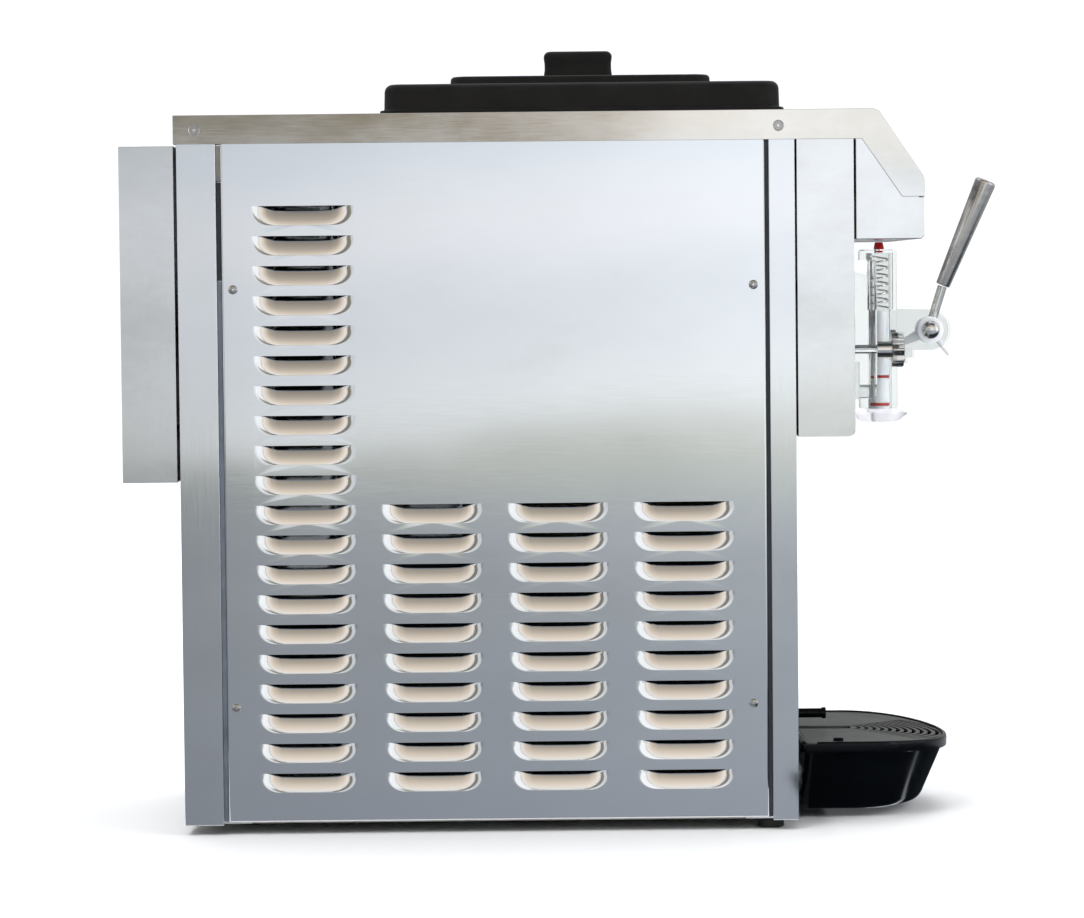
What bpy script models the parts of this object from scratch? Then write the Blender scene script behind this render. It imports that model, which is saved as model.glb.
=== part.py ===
"""Countertop soft serve machine, one flavour, as separate named pieces.

Lengths below are millimetres and are turned into metres as each mesh is made.
x runs from the rear face of the cabinet to the front, y to the machine's left,
z up from the table. X_MID moves the finished machine to the middle of its length.
"""
from math import asin, atan2, cos, pi, radians, sin, sqrt

import bmesh
import bpy
from mathutils import Matrix, Vector
from mathutils.geometry import delaunay_2d_cdt

MM = 0.001
X_MID = 390.85
GAP = 0.3

# cabinet
BODY_DEPTH = 616.0
HALF_WIDTH = 200.0
SIDE_FACE = 198.5
BODY_BOTTOM = 10.0
FRAME_TOP = 716.0
TRIM_BOTTOM = 692.0
TRIM_TOP = 721.0
TRIM_SHEET = 1.2
REAR_OVERHANG = 3.0
POST_SHEET = 1.5
REAR_POST = 39.0
FRONT_POST = 26.0
POST_REAR_LEG = 48.5
PANEL_LAND = 27.0
LAND_FACE = 184.7
PANEL_REAR = 44.0
PANEL_FRONT = 586.0
PANEL_BOTTOM = 13.0
PANEL_SHEET = 1.2
PANEL_FLANGE = 13.5
PAN_HALF_WIDTH = 182.5
PAN_RIM = 20.0

# louvres pressed inwards, open along their top edge
LOUVRE_TOP_WIDTH = 102.0
LOUVRE_BOTTOM_WIDTH = 70.0
LOUVRE_HEIGHT = 19.5
LOUVRE_DEPTH = 8.0
LOUVRE_PITCH = 29.9
LOUVRE_FIRST = 630.0
LOUVRE_ROWS = 20
LOUVRE_SHORT_FROM = 10
LOUVRE_COLUMNS = (125.0, 251.0, 377.0, 503.0)

# housings in front of and behind the cabinet
FRONT_BOX = (618.0, 675.0, 394.5, 718.0)
REAR_BOX = (-57.5, -3.0, 355.0, 690.5)
HOUSING_SHEET = 1.5
BAND = 30.0
SLOPE_TOP = (699.0, 721.0)
SLOPE_FOOT = (745.5, 652.0)
BAND_FOOT = 633.0
HOOD_REAR = 677.0
HOOD_BOTTOM = 591.0

# hopper and lid
HOPPER = (222.0, 583.0, 118.0, 575.0)
LID = (200.5, 610.5, 140.0, 753.0)
LID_STEP = (271.5, 537.5, 98.0, 762.0)
LID_HANDLE = (367.5, 438.5, 17.0, 791.0)

# freezing cylinder, beater and drive
AXIS_Z = 499.0
CYLINDER_BORE = 48.0
CYLINDER_OUTER = 51.0
CYLINDER_REAR = 262.0
CYLINDER_FLANGE = 72.0
BEATER_RADIUS = 46.0
DRIVEN_PULLEY = 60.0
MOTOR_PULLEY = 24.0
MOTOR_Z = 398.0
MOTOR_RADIUS = 56.0

# dispensing head and lever
HEAD_REAR = 679.0
HEAD_PLATE_FRONT = 707.7
TOWER_FRONT = 733.5
TOWER_TOP = 582.0
TOWER_BOTTOM = 416.0
PLUNGER_X = 716.0
PLUNGER_RADIUS = 11.5
SPRING_RADIUS = 12.2
PIVOT_X = 768.0
PIVOT_Z = 497.5
EAR_RADIUS = 21.0
EAR_GAP = 9.0
EAR_OUTER = 15.0
ARM_ANGLE = 25.0
GRIP_BASE = (782.6, 543.7)
GRIP_TOP = (828.7, 653.0)
NUT_Y = 52.0
NUT_Z = 478.0

# drip tray
TRAY_REAR = 622.0
TRAY_SHOULDER = 680.0
TRAY_NOSE = 783.0
TRAY_HALF_WIDTH = 150.0
TRAY_RIM = 82.5
TRAY_DROOP = 7.0
TRAY_BOTTOM = 8.5
GRILLE_PITCH = 8.2
SPOUT_Y = 0.0
SPOUT_Z = 96.0
SPOUT_REACH = 41.0


def material(name, colour, roughness, metallic=0.0, alpha=1.0):
    made = bpy.data.materials.new(name)
    made.use_nodes = True
    shader = made.node_tree.nodes["Principled BSDF"]
    shader.inputs["Base Color"].default_value = (*colour, 1.0)
    shader.inputs["Roughness"].default_value = roughness
    shader.inputs["Metallic"].default_value = metallic
    shader.inputs["Alpha"].default_value = alpha
    return made


def solid(points, faces):
    """A loose object from machine coordinates, with its faces turned outwards."""
    mesh = bpy.data.meshes.new("shape")
    bm = bmesh.new()
    made = [bm.verts.new(((p[0] - X_MID) * MM, p[1] * MM, p[2] * MM)) for p in points]
    for face in faces:
        bm.faces.new([made[i] for i in face])
    bmesh.ops.recalc_face_normals(bm, faces=bm.faces)
    bm.to_mesh(mesh)
    bm.free()
    shape = bpy.data.objects.new("shape", mesh)
    bpy.context.collection.objects.link(shape)
    return shape


def applied(shape, modifier):
    """Keep what a modifier makes as the shape's own mesh."""
    graph = bpy.context.evaluated_depsgraph_get()
    graph.update()
    old = shape.data
    shape.data = bpy.data.meshes.new_from_object(shape.evaluated_get(graph))
    shape.modifiers.remove(modifier)
    bpy.data.meshes.remove(old)
    return shape


def combine(shape, tools, operation):
    for tool in tools:
        step = shape.modifiers.new("step", "BOOLEAN")
        step.operation = operation
        step.solver = "EXACT"
        step.object = tool
        applied(shape, step)
        spare = tool.data
        bpy.data.objects.remove(tool)
        bpy.data.meshes.remove(spare)
    return shape


def cut(shape, *tools):
    return combine(shape, tools, "DIFFERENCE")


def join(shape, *tools):
    return combine(shape, tools, "UNION")


def finish(shape, name, look, smooth=None, pivot=None):
    """Name a shape, give it its material, shading and joint origin."""
    shape.name = name
    shape.data.name = name
    bm = bmesh.new()
    bm.from_mesh(shape.data)
    bmesh.ops.remove_doubles(bm, verts=bm.verts, dist=0.000002)
    bmesh.ops.dissolve_degenerate(bm, edges=bm.edges, dist=0.000002)
    bmesh.ops.dissolve_limit(bm, angle_limit=0.0005, verts=bm.verts, edges=bm.edges)
    bmesh.ops.triangulate(bm, faces=bm.faces)
    bm.to_mesh(shape.data)
    bm.free()
    shape.data.materials.clear()
    shape.data.materials.append(look)
    if smooth is not None:
        for face in shape.data.polygons:
            face.use_smooth = True
        shape.data.set_sharp_from_angle(angle=radians(smooth))
    if pivot is not None:
        move = Vector(((pivot[0] - X_MID) * MM, pivot[1] * MM, pivot[2] * MM))
        shape.data.transform(Matrix.Translation(-move))
        shape.location = move
    return shape


def box(x0, x1, y0, y1, z0, z1):
    points = [(x, y, z) for x in (x0, x1) for y in (y0, y1) for z in (z0, z1)]
    faces = [(0, 1, 3, 2), (4, 6, 7, 5), (0, 4, 5, 1), (2, 3, 7, 6), (0, 2, 6, 4), (1, 5, 7, 3)]
    return solid(points, faces)


def loft(rings, closed=False):
    """Join rings of equal length; ends are capped unless the rings run in a loop."""
    count = len(rings[0])
    points = [p for ring in rings for p in ring]
    faces = []
    spans = len(rings) if closed else len(rings) - 1
    for k in range(spans):
        a = k * count
        b = ((k + 1) % len(rings)) * count
        for i in range(count):
            j = (i + 1) % count
            faces.append((a + i, a + j, b + j, b + i))
    if not closed:
        faces.append(tuple(range(count)))
        last = (len(rings) - 1) * count
        faces.append(tuple(last + i for i in range(count)))
    return solid(points, faces)


def prism(outline, axis, low, high):
    """Extrude an outline along x, y or z; the outline lists the other two axes."""
    def at(p, level):
        if axis == "x":
            return (level, p[0], p[1])
        if axis == "y":
            return (p[0], level, p[1])
        return (p[0], p[1], level)
    return loft([[at(p, low) for p in outline], [at(p, high) for p in outline]])


def spin(profile, centre, direction, steps=24, closed=False):
    """Turn a profile of (radius, height) about a line through centre."""
    along = Vector(direction).normalized()
    side = Vector((0, 1, 0)) if abs(along.y) < 0.9 else Vector((1, 0, 0))
    u = along.cross(side).normalized()
    v = along.cross(u)
    rings = []
    for radius, height in profile:
        ring = []
        for i in range(steps):
            a = 2 * pi * i / steps
            p = Vector(centre) + along * height + (u * cos(a) + v * sin(a)) * radius
            ring.append(tuple(p))
        rings.append(ring)
    return loft(rings, closed)


def rod(radius, start, end, steps=16):
    line = Vector(end) - Vector(start)
    return spin([(radius, 0.0), (radius, line.length)], start, line, steps)


def rounded(x0, x1, y0, y1, radius, segments=3):
    """Rectangle outline with rounded corners."""
    outline = []
    corners = ((x1, y1, 0), (x0, y1, 90), (x0, y0, 180), (x1, y0, 270))
    for cx, cy, start in corners:
        mx = cx - radius if cx == x1 else cx + radius
        my = cy - radius if cy == y1 else cy + radius
        for k in range(segments + 1):
            a = radians(start + 90.0 * k / segments)
            outline.append((mx + radius * cos(a), my + radius * sin(a)))
    return outline


def level(outline, z):
    return [(p[0], p[1], z) for p in outline]


def folded(path, thickness, low, high):
    """Sheet bent along a plan path that marks its middle line."""
    half = thickness / 2
    left = []
    right = []
    for i, p in enumerate(path):
        here = Vector(p)
        before = (here - Vector(path[i - 1])).normalized() if i else None
        after = (Vector(path[i + 1]) - here).normalized() if i < len(path) - 1 else None
        first = before or after
        second = after or before
        n1 = Vector((-first.y, first.x))
        n2 = Vector((-second.y, second.x))
        mitre = (n1 + n2).normalized()
        reach = half / mitre.dot(n1)
        left.append(tuple(here + mitre * reach))
        right.append(tuple(here - mitre * reach))
    return prism(left + right[::-1], "z", low, high)


def along_slope(distance, height, y):
    """A point on the sloping control face, height above it."""
    run = Vector(SLOPE_FOOT) - Vector(SLOPE_TOP)
    run.normalize()
    out = Vector((-run.y, run.x))
    p = Vector(SLOPE_TOP) + run * distance + out * height
    return (p.x, y, p.y)


def slope_block(d0, d1, y0, y1, h0, h1):
    ring = lambda h: [along_slope(d, h, y) for d, y in ((d0, y0), (d1, y0), (d1, y1), (d0, y1))]
    return loft([ring(h0), ring(h1)])


def mirrored(side, path):
    return [(x, side * y) for x, y in path]


def clear_scene():
    for thing in list(bpy.data.objects):
        bpy.data.objects.remove(thing)


def make_looks():
    steel = (0.62, 0.64, 0.67)
    return {
        "steel": material("brushed steel", steel, 0.30, 1.0),
        "trim": material("trim steel", (0.70, 0.69, 0.68), 0.25, 1.0),
        "shell": material("shell steel", (0.76, 0.78, 0.80), 0.32, 1.0),
        "inner": material("galvanised steel", (0.45, 0.46, 0.47), 0.5, 1.0),
        "satin": material("satin steel", (0.66, 0.64, 0.61), 0.22, 1.0),
        "black": material("satin black plastic", (0.012, 0.012, 0.013), 0.35),
        "gloss": material("gloss black plastic", (0.006, 0.006, 0.007), 0.12),
        "grey": material("dark grey plastic", (0.055, 0.058, 0.056), 0.45),
        "rubber": material("black rubber", (0.015, 0.015, 0.015), 0.8),
        "clear": material("clear plastic", (0.90, 0.92, 0.92), 0.06, 0.0, 0.3),
        "frosted": material("frosted plastic", (0.78, 0.78, 0.80), 0.45, 0.0, 0.8),
        "white": material("white plastic", (0.86, 0.87, 0.90), 0.3),
        "red": material("red rubber", (0.55, 0.01, 0.01), 0.4),
        "foam": material("insulating foam", (0.75, 0.70, 0.50), 0.9),
        "painted": material("black painted steel", (0.02, 0.02, 0.022), 0.4),
        "fins": material("condenser fins", (0.70, 0.71, 0.72), 0.35, 1.0),
        "lens": material("display window", (0.01, 0.015, 0.03), 0.08),
        "button": material("button plastic", (0.35, 0.36, 0.38), 0.4),
    }


def louvre_outline(cx, top):
    half = LOUVRE_TOP_WIDTH / 2
    foot = LOUVRE_BOTTOM_WIDTH / 2
    low = LOUVRE_HEIGHT
    shape = ((-half, 0.0), (-half + 3.0, -0.54 * low), (-foot, -low))
    outline = [(cx + x, top + z) for x, z in shape]
    outline += [(cx - x, top + z) for x, z in shape[::-1]]
    return outline


def louvre_floor(cx, top):
    """Inner edge of a louvre: its plan point and how far in it lies."""
    half = LOUVRE_TOP_WIDTH / 2 - 8.0
    foot = LOUVRE_BOTTOM_WIDTH / 2 - 1.0
    shape = ((-half, 0.0), (-half + 2.0, -9.0), (-foot, -LOUVRE_HEIGHT + 2.5))
    floor = [(cx + x, top + z, LOUVRE_DEPTH + 0.4 * z) for x, z in shape]
    floor += [(cx - x, top + z, LOUVRE_DEPTH + 0.4 * z) for x, z in shape[::-1]]
    return floor


def louvres():
    for c, cx in enumerate(LOUVRE_COLUMNS):
        first = 0 if c == 0 else LOUVRE_SHORT_FROM
        for row in range(first, LOUVRE_ROWS):
            yield cx, LOUVRE_FIRST - LOUVRE_PITCH * row


def side_panel(side):
    """Pan-folded side panel with every louvre pressed into its one sheet."""
    corners = [(PANEL_REAR, PANEL_BOTTOM), (PANEL_FRONT, PANEL_BOTTOM)]
    corners += [(PANEL_FRONT, FRAME_TOP), (PANEL_REAR, FRAME_TOP)]
    flat = [Vector(p) for p in corners]
    edges = [(0, 1), (1, 2), (2, 3), (3, 0)]
    holes = []
    for cx, top in louvres():
        start = len(flat)
        outline = louvre_outline(cx, top)
        flat += [Vector(p) for p in outline]
        edges += [(start + i, start + (i + 1) % 6) for i in range(6)]
        holes.append((cx, top, start))
    points, _, faces, _, _, _ = delaunay_2d_cdt(flat, edges, [], 1, 0.0001)

    def pressed(p):
        for cx, top, _ in holes:
            if not top - LOUVRE_HEIGHT < p.y < top:
                continue
            drop = (top - p.y) / LOUVRE_HEIGHT
            if drop < 0.54:
                half = LOUVRE_TOP_WIDTH / 2 - 3.0 * drop / 0.54
            else:
                span = LOUVRE_TOP_WIDTH / 2 - 3.0 - LOUVRE_BOTTOM_WIDTH / 2
                half = LOUVRE_TOP_WIDTH / 2 - 3.0 - span * (drop - 0.54) / 0.46
            if abs(p.x - cx) < half:
                return True
        return False

    bm = bmesh.new()
    face_y = SIDE_FACE

    def vert(x, depth, z):
        return bm.verts.new(((x - X_MID) * MM, side * (face_y - depth) * MM, z * MM))

    made = [vert(p.x, 0.0, p.y) for p in points]
    for face in faces:
        middle = sum((points[i] for i in face), Vector((0.0, 0.0))) / len(face)
        if not pressed(middle):
            bm.faces.new([made[i] for i in face])
    for cx, top, start in holes:
        inner = [vert(x, depth, z) for x, z, depth in louvre_floor(cx, top)]
        for i in range(5):
            j = start + i
            bm.faces.new((made[j], made[j + 1], inner[i + 1], inner[i]))
        bm.faces.new(inner)
    edge = [vert(x, PANEL_FLANGE, z) for x, z in corners]
    for i in range(4):
        j = (i + 1) % 4
        bm.faces.new((made[i], made[j], edge[j], edge[i]))
    bmesh.ops.recalc_face_normals(bm, faces=bm.faces)
    bm.faces.ensure_lookup_table()
    out = max(bm.faces, key=lambda f: abs(f.normal.y) * f.calc_area())
    if out.normal.y * side < 0:
        bmesh.ops.reverse_faces(bm, faces=bm.faces)
    mesh = bpy.data.meshes.new("shape")
    bm.to_mesh(mesh)
    bm.free()
    shape = bpy.data.objects.new("shape", mesh)
    bpy.context.collection.objects.link(shape)
    wall = shape.modifiers.new("sheet", "SOLIDIFY")
    wall.thickness = PANEL_SHEET * MM
    wall.offset = -1.0
    wall.use_even_offset = True
    return applied(shape, wall)


def make_frame(looks):
    pan = box(2.2, 613.6, -PAN_HALF_WIDTH, PAN_HALF_WIDTH, BODY_BOTTOM, BODY_BOTTOM + PAN_RIM)
    edge = PAN_HALF_WIDTH - 1.5
    cut(pan, box(3.7, 612.1, -edge, edge, BODY_BOTTOM + 1.5, BODY_BOTTOM + PAN_RIM + 5.0))
    finish(pan, "base_pan", looks["inner"])
    half = POST_SHEET / 2
    side_line = SIDE_FACE - half
    land = LAND_FACE - half
    for side, hand in ((-1, "right"), (1, "left")):
        rear = [(half, SIDE_FACE - POST_REAR_LEG), (half, side_line), (REAR_POST - half, side_line)]
        rear += [(REAR_POST - half, land), (REAR_POST + PANEL_LAND, land)]
        post = folded(mirrored(side, rear), POST_SHEET, BODY_BOTTOM, FRAME_TOP)
        finish(post, "rear_post_" + hand, looks["shell"])
        inner = BODY_DEPTH - FRONT_POST + half
        front = [(BODY_DEPTH - half, SIDE_FACE - POST_REAR_LEG), (BODY_DEPTH - half, side_line)]
        front += [(inner, side_line), (inner, land), (inner - PANEL_LAND - half, land)]
        post = folded(mirrored(side, front), POST_SHEET, BODY_BOTTOM, FRAME_TOP)
        finish(post, "front_post_" + hand, looks["shell"])
        finish(side_panel(side), "side_panel_" + hand, looks["steel"])
    reach = SIDE_FACE - POST_REAR_LEG - GAP
    back = box(0.0, 1.2, -reach, reach, 12.0, FRAME_TOP)
    cut(back, rod(14.0, (-5, 0, AXIS_Z), (5, 0, AXIS_Z)), rod(12.0, (-5, 0, MOTOR_Z), (5, 0, MOTOR_Z)))
    cut(back, box(-5, 5, -16.0, 16.0, 64.0, 92.0))
    for row in range(8):
        z = 130.0 + 18.0 * row
        cut(back, box(-5, 5, -110.0, 110.0, z, z + 7.0))
    finish(back, "rear_panel", looks["shell"])
    front = box(BODY_DEPTH - 1.2, BODY_DEPTH, -reach, reach, 12.0, FRAME_TOP)
    cut(front, rod(CYLINDER_OUTER + 3.0, (600, 0, AXIS_Z), (630, 0, AXIS_Z), 24))
    cut(front, rod(4.0, (600, SPOUT_Y, SPOUT_Z), (630, SPOUT_Y, SPOUT_Z), 12))
    finish(front, "front_panel", looks["shell"])


def make_top(looks):
    tx, tz = SLOPE_TOP
    fx, fz = SLOPE_FOOT
    rear = -REAR_OVERHANG
    outer = [(rear, TRIM_BOTTOM), (rear, TRIM_TOP), (tx - 4.0, tz), (tx + 1.6, tz - 2.4)]
    outer += [(fx - 1.2, fz + 1.8), (fx, fz - 2.5), (fx, BAND_FOOT), (723.0, BAND_FOOT)]
    outer += [(683.0, TRIM_BOTTOM - 1.0)]
    cover = prism(outer, "y", -HALF_WIDTH, HALF_WIDTH)
    t = TRIM_SHEET
    inner = [(rear + t, 600.0), (rear + t, TRIM_TOP - t), (tx - 4.5, tz - t), (tx + 0.2, tz - 3.2)]
    inner += [(fx - 2.3, fz + 1.3), (fx - t, fz - 2.8), (fx - t, 600.0)]
    cut(cover, prism(inner, "y", -HALF_WIDTH + t, HALF_WIDTH - t))
    x0, x1, half, _ = HOPPER
    cut(cover, prism(rounded(x0, x1, -half, half, 16.0), "z", 700.0, 730.0))
    cut(cover, slope_block(13.6, 68.4, -95.4, 95.4, -6.0, 6.0))
    finish(cover, "top_cover", looks["trim"])

    x0, x1, z0, z1 = FRONT_BOX
    t = HOUSING_SHEET
    side = [(x0, z0), (x1 - 6.0, z0), (x1 - 1.8, z0 + 1.8), (x1, z0 + 6.0), (x1, z1), (x0, z1)]
    housing = prism(side, "y", -SIDE_FACE, SIDE_FACE)
    hollow = [(x0 - 5.0, z0 + t), (x1 - 6.6, z0 + t), (x1 - t - 0.6, z0 + 6.6), (x1 - t, z1 + 5.0)]
    hollow += [(x0 - 5.0, z1 + 5.0)]
    cut(housing, prism(hollow, "y", -SIDE_FACE + t, SIDE_FACE - t))
    cut(housing, rod(CYLINDER_OUTER + 3.0, (660, 0, AXIS_Z), (690, 0, AXIS_Z), 24))
    finish(housing, "front_housing", looks["shell"])

    x0, x1, z0, z1 = REAR_BOX
    cover = box(x0, x1, -SIDE_FACE, SIDE_FACE, z0, z1)
    cut(cover, box(x0 + t, x1 + 5.0, -SIDE_FACE + t, SIDE_FACE - t, z0 + t, z1 - t))
    finish(cover, "rear_drive_cover", looks["shell"])

    side = [(HOOD_REAR, HOOD_BOTTOM), (742.0, HOOD_BOTTOM), (745.0, HOOD_BOTTOM + 3.0)]
    side += [(745.0, 632.6), (740.0, 632.6), (740.0, 654.0), (697.0, 718.0), (HOOD_REAR, 718.0)]
    hood = prism(side, "y", -SIDE_FACE, SIDE_FACE)
    hollow = [(660.0, HOOD_BOTTOM + t), (741.4, HOOD_BOTTOM + t), (743.5, HOOD_BOTTOM + 3.6)]
    hollow += [(743.5, 660.0), (760.0, 660.0), (760.0, 740.0), (660.0, 740.0)]
    cut(hood, prism(hollow, "y", -SIDE_FACE + t, SIDE_FACE - t))
    finish(hood, "control_hood", looks["shell"])

    fascia = slope_block(14.0, 68.0, -95.0, 95.0, -2.1, 0.3)
    cut(fascia, slope_block(20.0, 38.0, -44.0, 44.0, -6.0, 6.0))
    for y in (-48.0, 0.0, 48.0):
        a = Vector(along_slope(53.0, -5.0, y))
        b = Vector(along_slope(53.0, 5.0, y))
        cut(fascia, rod(9.5, a, b, 20))
    finish(fascia, "control_fascia", looks["black"])
    finish(slope_block(20.3, 37.7, -43.7, 43.7, -1.8, 0.1), "display_lens", looks["lens"])
    for name, y in (("wash_button", -48.0), ("serve_button", 0.0), ("standby_button", 48.0)):
        foot = Vector(along_slope(53.0, 0.0, y))
        out = Vector(along_slope(53.0, 1.0, y)) - foot
        shape = spin([(9.0, -6.0), (9.0, 0.5), (8.4, 1.0)], foot, out, 20)
        finish(shape, name, looks["button"], 30, foot)


def make_hopper(looks):
    x0, x1, half, z0 = HOPPER
    flange_top = TRIM_TOP - TRIM_SHEET - GAP
    tub = prism(rounded(x0, x1, -half, half, 16.0), "z", z0, flange_top)
    flange = rounded(x0 - 12.0, x1 + 12.0, -half - 12.0, half + 12.0, 20.0)
    join(tub, prism(flange, "z", flange_top - 1.2, flange_top))
    join(tub, rod(9.5, (300, 0, z0 + 0.6), (300, 0, AXIS_Z + CYLINDER_OUTER + 0.5)))
    inside = rounded(x0 + 1.2, x1 - 1.2, -half + 1.2, half - 1.2, 15.0)
    cut(tub, prism(inside, "z", z0 + 1.2, 740.0))
    cut(tub, rod(7.0, (300, 0, z0 + 5.0), (300, 0, 540.0)))
    finish(tub, "hopper", looks["satin"])
    tube = [(4.5, 0.0), (9.5, 0.0), (9.5, 118.0), (4.5, 118.0)]
    tube = spin(tube, (300, 0, z0 + 1.6), (0, 0, 1), 16, True)
    cut(tube, rod(2.5, (280, 0, z0 + 12.0), (320, 0, z0 + 12.0), 10))
    finish(tube, "air_tube", looks["white"], 30)

    def ring(inset, z, edge):
        a, b, c, _ = edge
        return level(rounded(a + inset, b - inset, -c + inset, c - inset, max(22.0 - inset, 5.0)), z)

    top = LID[3]
    rings = [ring(12, top - 5.0, LID), ring(9, TRIM_TOP + GAP, LID), ring(0, TRIM_TOP + GAP, LID)]
    rings += [ring(0, 726.0, LID), ring(4, 727.5, LID), ring(5, top - 8.0, LID)]
    rings += [ring(7.5, top - 2.4, LID), ring(13, top, LID)]
    rings += [ring(0, top + 0.2, LID_STEP), ring(1, LID_STEP[3] - 3.0, LID_STEP)]
    rings += [ring(4, LID_STEP[3], LID_STEP)]
    finish(loft(rings), "hopper_lid", looks["black"], 35)
    x0, x1, half, z1 = LID_HANDLE
    z0 = LID_STEP[3] + GAP

    def grip(inset, z):
        return level(rounded(x0 + inset, x1 - inset, -half + inset, half - inset, 8.0 - inset), z)

    finish(loft([grip(0, z0), grip(0, z1 - 6.0), grip(1.8, z1 - 1.8), grip(6.0, z1)]),
           "lid_handle", looks["black"], 35)


def helix(radius_in, radius_out, thickness, start, end, turns, segments):
    """Flat ribbon wound about the beater's axis."""
    rings = []
    total = int(turns * segments)
    for i in range(total + 1):
        a = 2 * pi * i / segments
        x = start + (end - start) * i / total
        ring = []
        for r, dx in ((radius_in, 0), (radius_out, 0), (radius_out, thickness), (radius_in, thickness)):
            ring.append((x + dx, r * cos(a), AXIS_Z + r * sin(a)))
        rings.append(ring)
    return loft(rings)


def make_cold_parts(looks):
    bore = CYLINDER_BORE
    outer = CYLINDER_OUTER
    rear = CYLINDER_REAR
    profile = [(12.0, 0.0), (outer, 0.0), (outer, 413.3), (CYLINDER_FLANGE, 413.3)]
    profile += [(CYLINDER_FLANGE, 416.3), (bore, 416.3), (bore, 4.0), (12.0, 4.0)]
    tube = spin(profile, (rear, 0, AXIS_Z), (1, 0, 0), 24, True)
    for y in (-NUT_Y, NUT_Y):
        join(tube, rod(4.0, (677.0, y, NUT_Z), (731.0, y, NUT_Z), 12))
    cut(tube, rod(7.0, (300, 0, AXIS_Z + 40.0), (300, 0, AXIS_Z + 60.0), 12))
    finish(tube, "freezing_cylinder", looks["satin"], 30)
    wrap = [(outer + 1.6, 0.0), (CYLINDER_FLANGE, 0.0), (CYLINDER_FLANGE, 340.0), (outer + 1.6, 340.0)]
    wrap = spin(wrap, (270.0, 0, AXIS_Z), (1, 0, 0), 16, True)
    cut(wrap, rod(11.0, (300, 0, AXIS_Z + 40.0), (300, 0, AXIS_Z + 90.0), 12))
    finish(wrap, "cylinder_insulation", looks["foam"], 30)

    axle = spin([(9.0, 0.0), (9.0, 406.0), (7.0, 410.0), (7.0, 414.0)], (270.0, 0, AXIS_Z), (1, 0, 0), 16)
    join(axle, helix(5.0, BEATER_RADIUS, 5.0, 276.0, 662.0, 2.0, 14))
    finish(axle, "beater", looks["white"], 40, (270.0, 0, AXIS_Z))
    shaft = rod(10.0, (-24.0, 0, AXIS_Z), (269.7, 0, AXIS_Z))
    finish(shaft, "drive_shaft", looks["satin"], 30, (0, 0, AXIS_Z))

    def pulley(radius, hole, z, name):
        profile = [(hole, 0.0), (radius, 0.0), (radius, 2.5), (radius - 6.0, 5.0)]
        profile += [(radius - 6.0, 15.0), (radius, 17.5), (radius, 20.0), (hole, 20.0)]
        shape = spin(profile, (-44.0, 0, z), (1, 0, 0), 24, True)
        return finish(shape, name, looks["inner"], 30, (-44.0, 0, z))

    pulley(DRIVEN_PULLEY, 10.4, AXIS_Z, "driven_pulley")
    wheel = [(MOTOR_PULLEY, 0.0), (MOTOR_PULLEY, 2.5), (MOTOR_PULLEY - 6, 5.0), (MOTOR_PULLEY - 6, 15.0)]
    wheel += [(MOTOR_PULLEY, 17.5), (MOTOR_PULLEY, 20.0), (8.0, 20.0), (8.0, 70.0)]
    wheel = spin(wheel, (-44.0, 0, MOTOR_Z), (1, 0, 0), 18)
    finish(wheel, "motor_pulley", looks["inner"], 30, (-44.0, 0, MOTOR_Z))

    def belt_loop(extra, x):
        r1 = DRIVEN_PULLEY - 6.0 + extra
        r2 = MOTOR_PULLEY - 6.0 + extra
        lean = asin((r1 - r2) / (AXIS_Z - MOTOR_Z))
        ring = []
        for k in range(15):
            a = -lean + (pi + 2 * lean) * k / 14
            ring.append((x, r1 * cos(a), AXIS_Z + r1 * sin(a)))
        for k in range(9):
            a = pi + lean + (pi - 2 * lean) * k / 8
            ring.append((x, r2 * cos(a), MOTOR_Z + r2 * sin(a)))
        return ring

    loops = [belt_loop(0.6, -38.6), belt_loop(5.0, -38.6), belt_loop(5.0, -29.4), belt_loop(0.6, -29.4)]
    finish(loft(loops, True), "drive_belt", looks["rubber"], 40)

    r = MOTOR_RADIUS
    case = [(9.0, 0.0), (r + 9.0, 0.0), (r + 9.0, 6.0), (r, 8.0), (r, 150.0), (r - 8, 160.0), (9.0, 160.0)]
    motor = spin(case, (1.5, 0, MOTOR_Z), (1, 0, 0), 16, True)
    finish(motor, "drive_motor", looks["painted"], 30)

    can = [(40.0, 0.0), (70.0, 4.0), (78.0, 22.0), (78.0, 150.0), (66.0, 176.0), (36.0, 190.0), (6.0, 194.0)]
    body = spin(can, (140.0, 70.0, BODY_BOTTOM + 1.8), (0, 0, 1), 16)
    finish(body, "compressor", looks["painted"], 40)
    comb = [(205.0, -178.0), (555.0, -178.0)]
    for k in range(8, -1, -1):
        x = 205.0 + 40.0 * k
        comb += [(x + 30.0, -140.0), (x, -140.0)]
        if k:
            comb += [(x, -170.0), (x - 10.0, -170.0)]
    finish(prism(comb, "z", 30.5, 330.0), "condenser", looks["fins"])
    fan = Vector((380.0, -70.0, 180.0))
    motor = rod(32.0, fan, fan + Vector((0, 50.0, 0)), 20)
    join(motor, box(368.0, 392.0, -58.0, -34.0, BODY_BOTTOM + 1.8, 170.0))
    finish(motor, "fan_motor", looks["painted"], 30)
    blades = rod(20.0, fan + Vector((0, -34.0, 0)), fan + Vector((0, -0.6, 0)), 20)
    for k in range(5):
        blade = box(-20.0, 20.0, -1.2, 1.2, 14.0, 118.0)
        turn = Matrix.Translation(Vector(((fan.x - X_MID) * MM, (fan.y - 18.0) * MM, fan.z * MM)))
        turn @= Matrix.Rotation(2 * pi * k / 5, 4, "Y") @ Matrix.Rotation(radians(32.0), 4, "Z")
        blade.data.transform(Matrix.Translation((X_MID * MM, 0, 0)))
        blade.data.transform(turn)
        join(blades, blade)
    finish(blades, "fan_blade", looks["inner"], 30, fan)

    inlet = box(-0.5, 26.0, -15.7, 15.7, 64.3, 91.7)
    cut(inlet, box(-5.0, 18.0, -11.5, 11.5, 68.5, 87.5))
    finish(inlet, "power_inlet", looks["black"])


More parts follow.
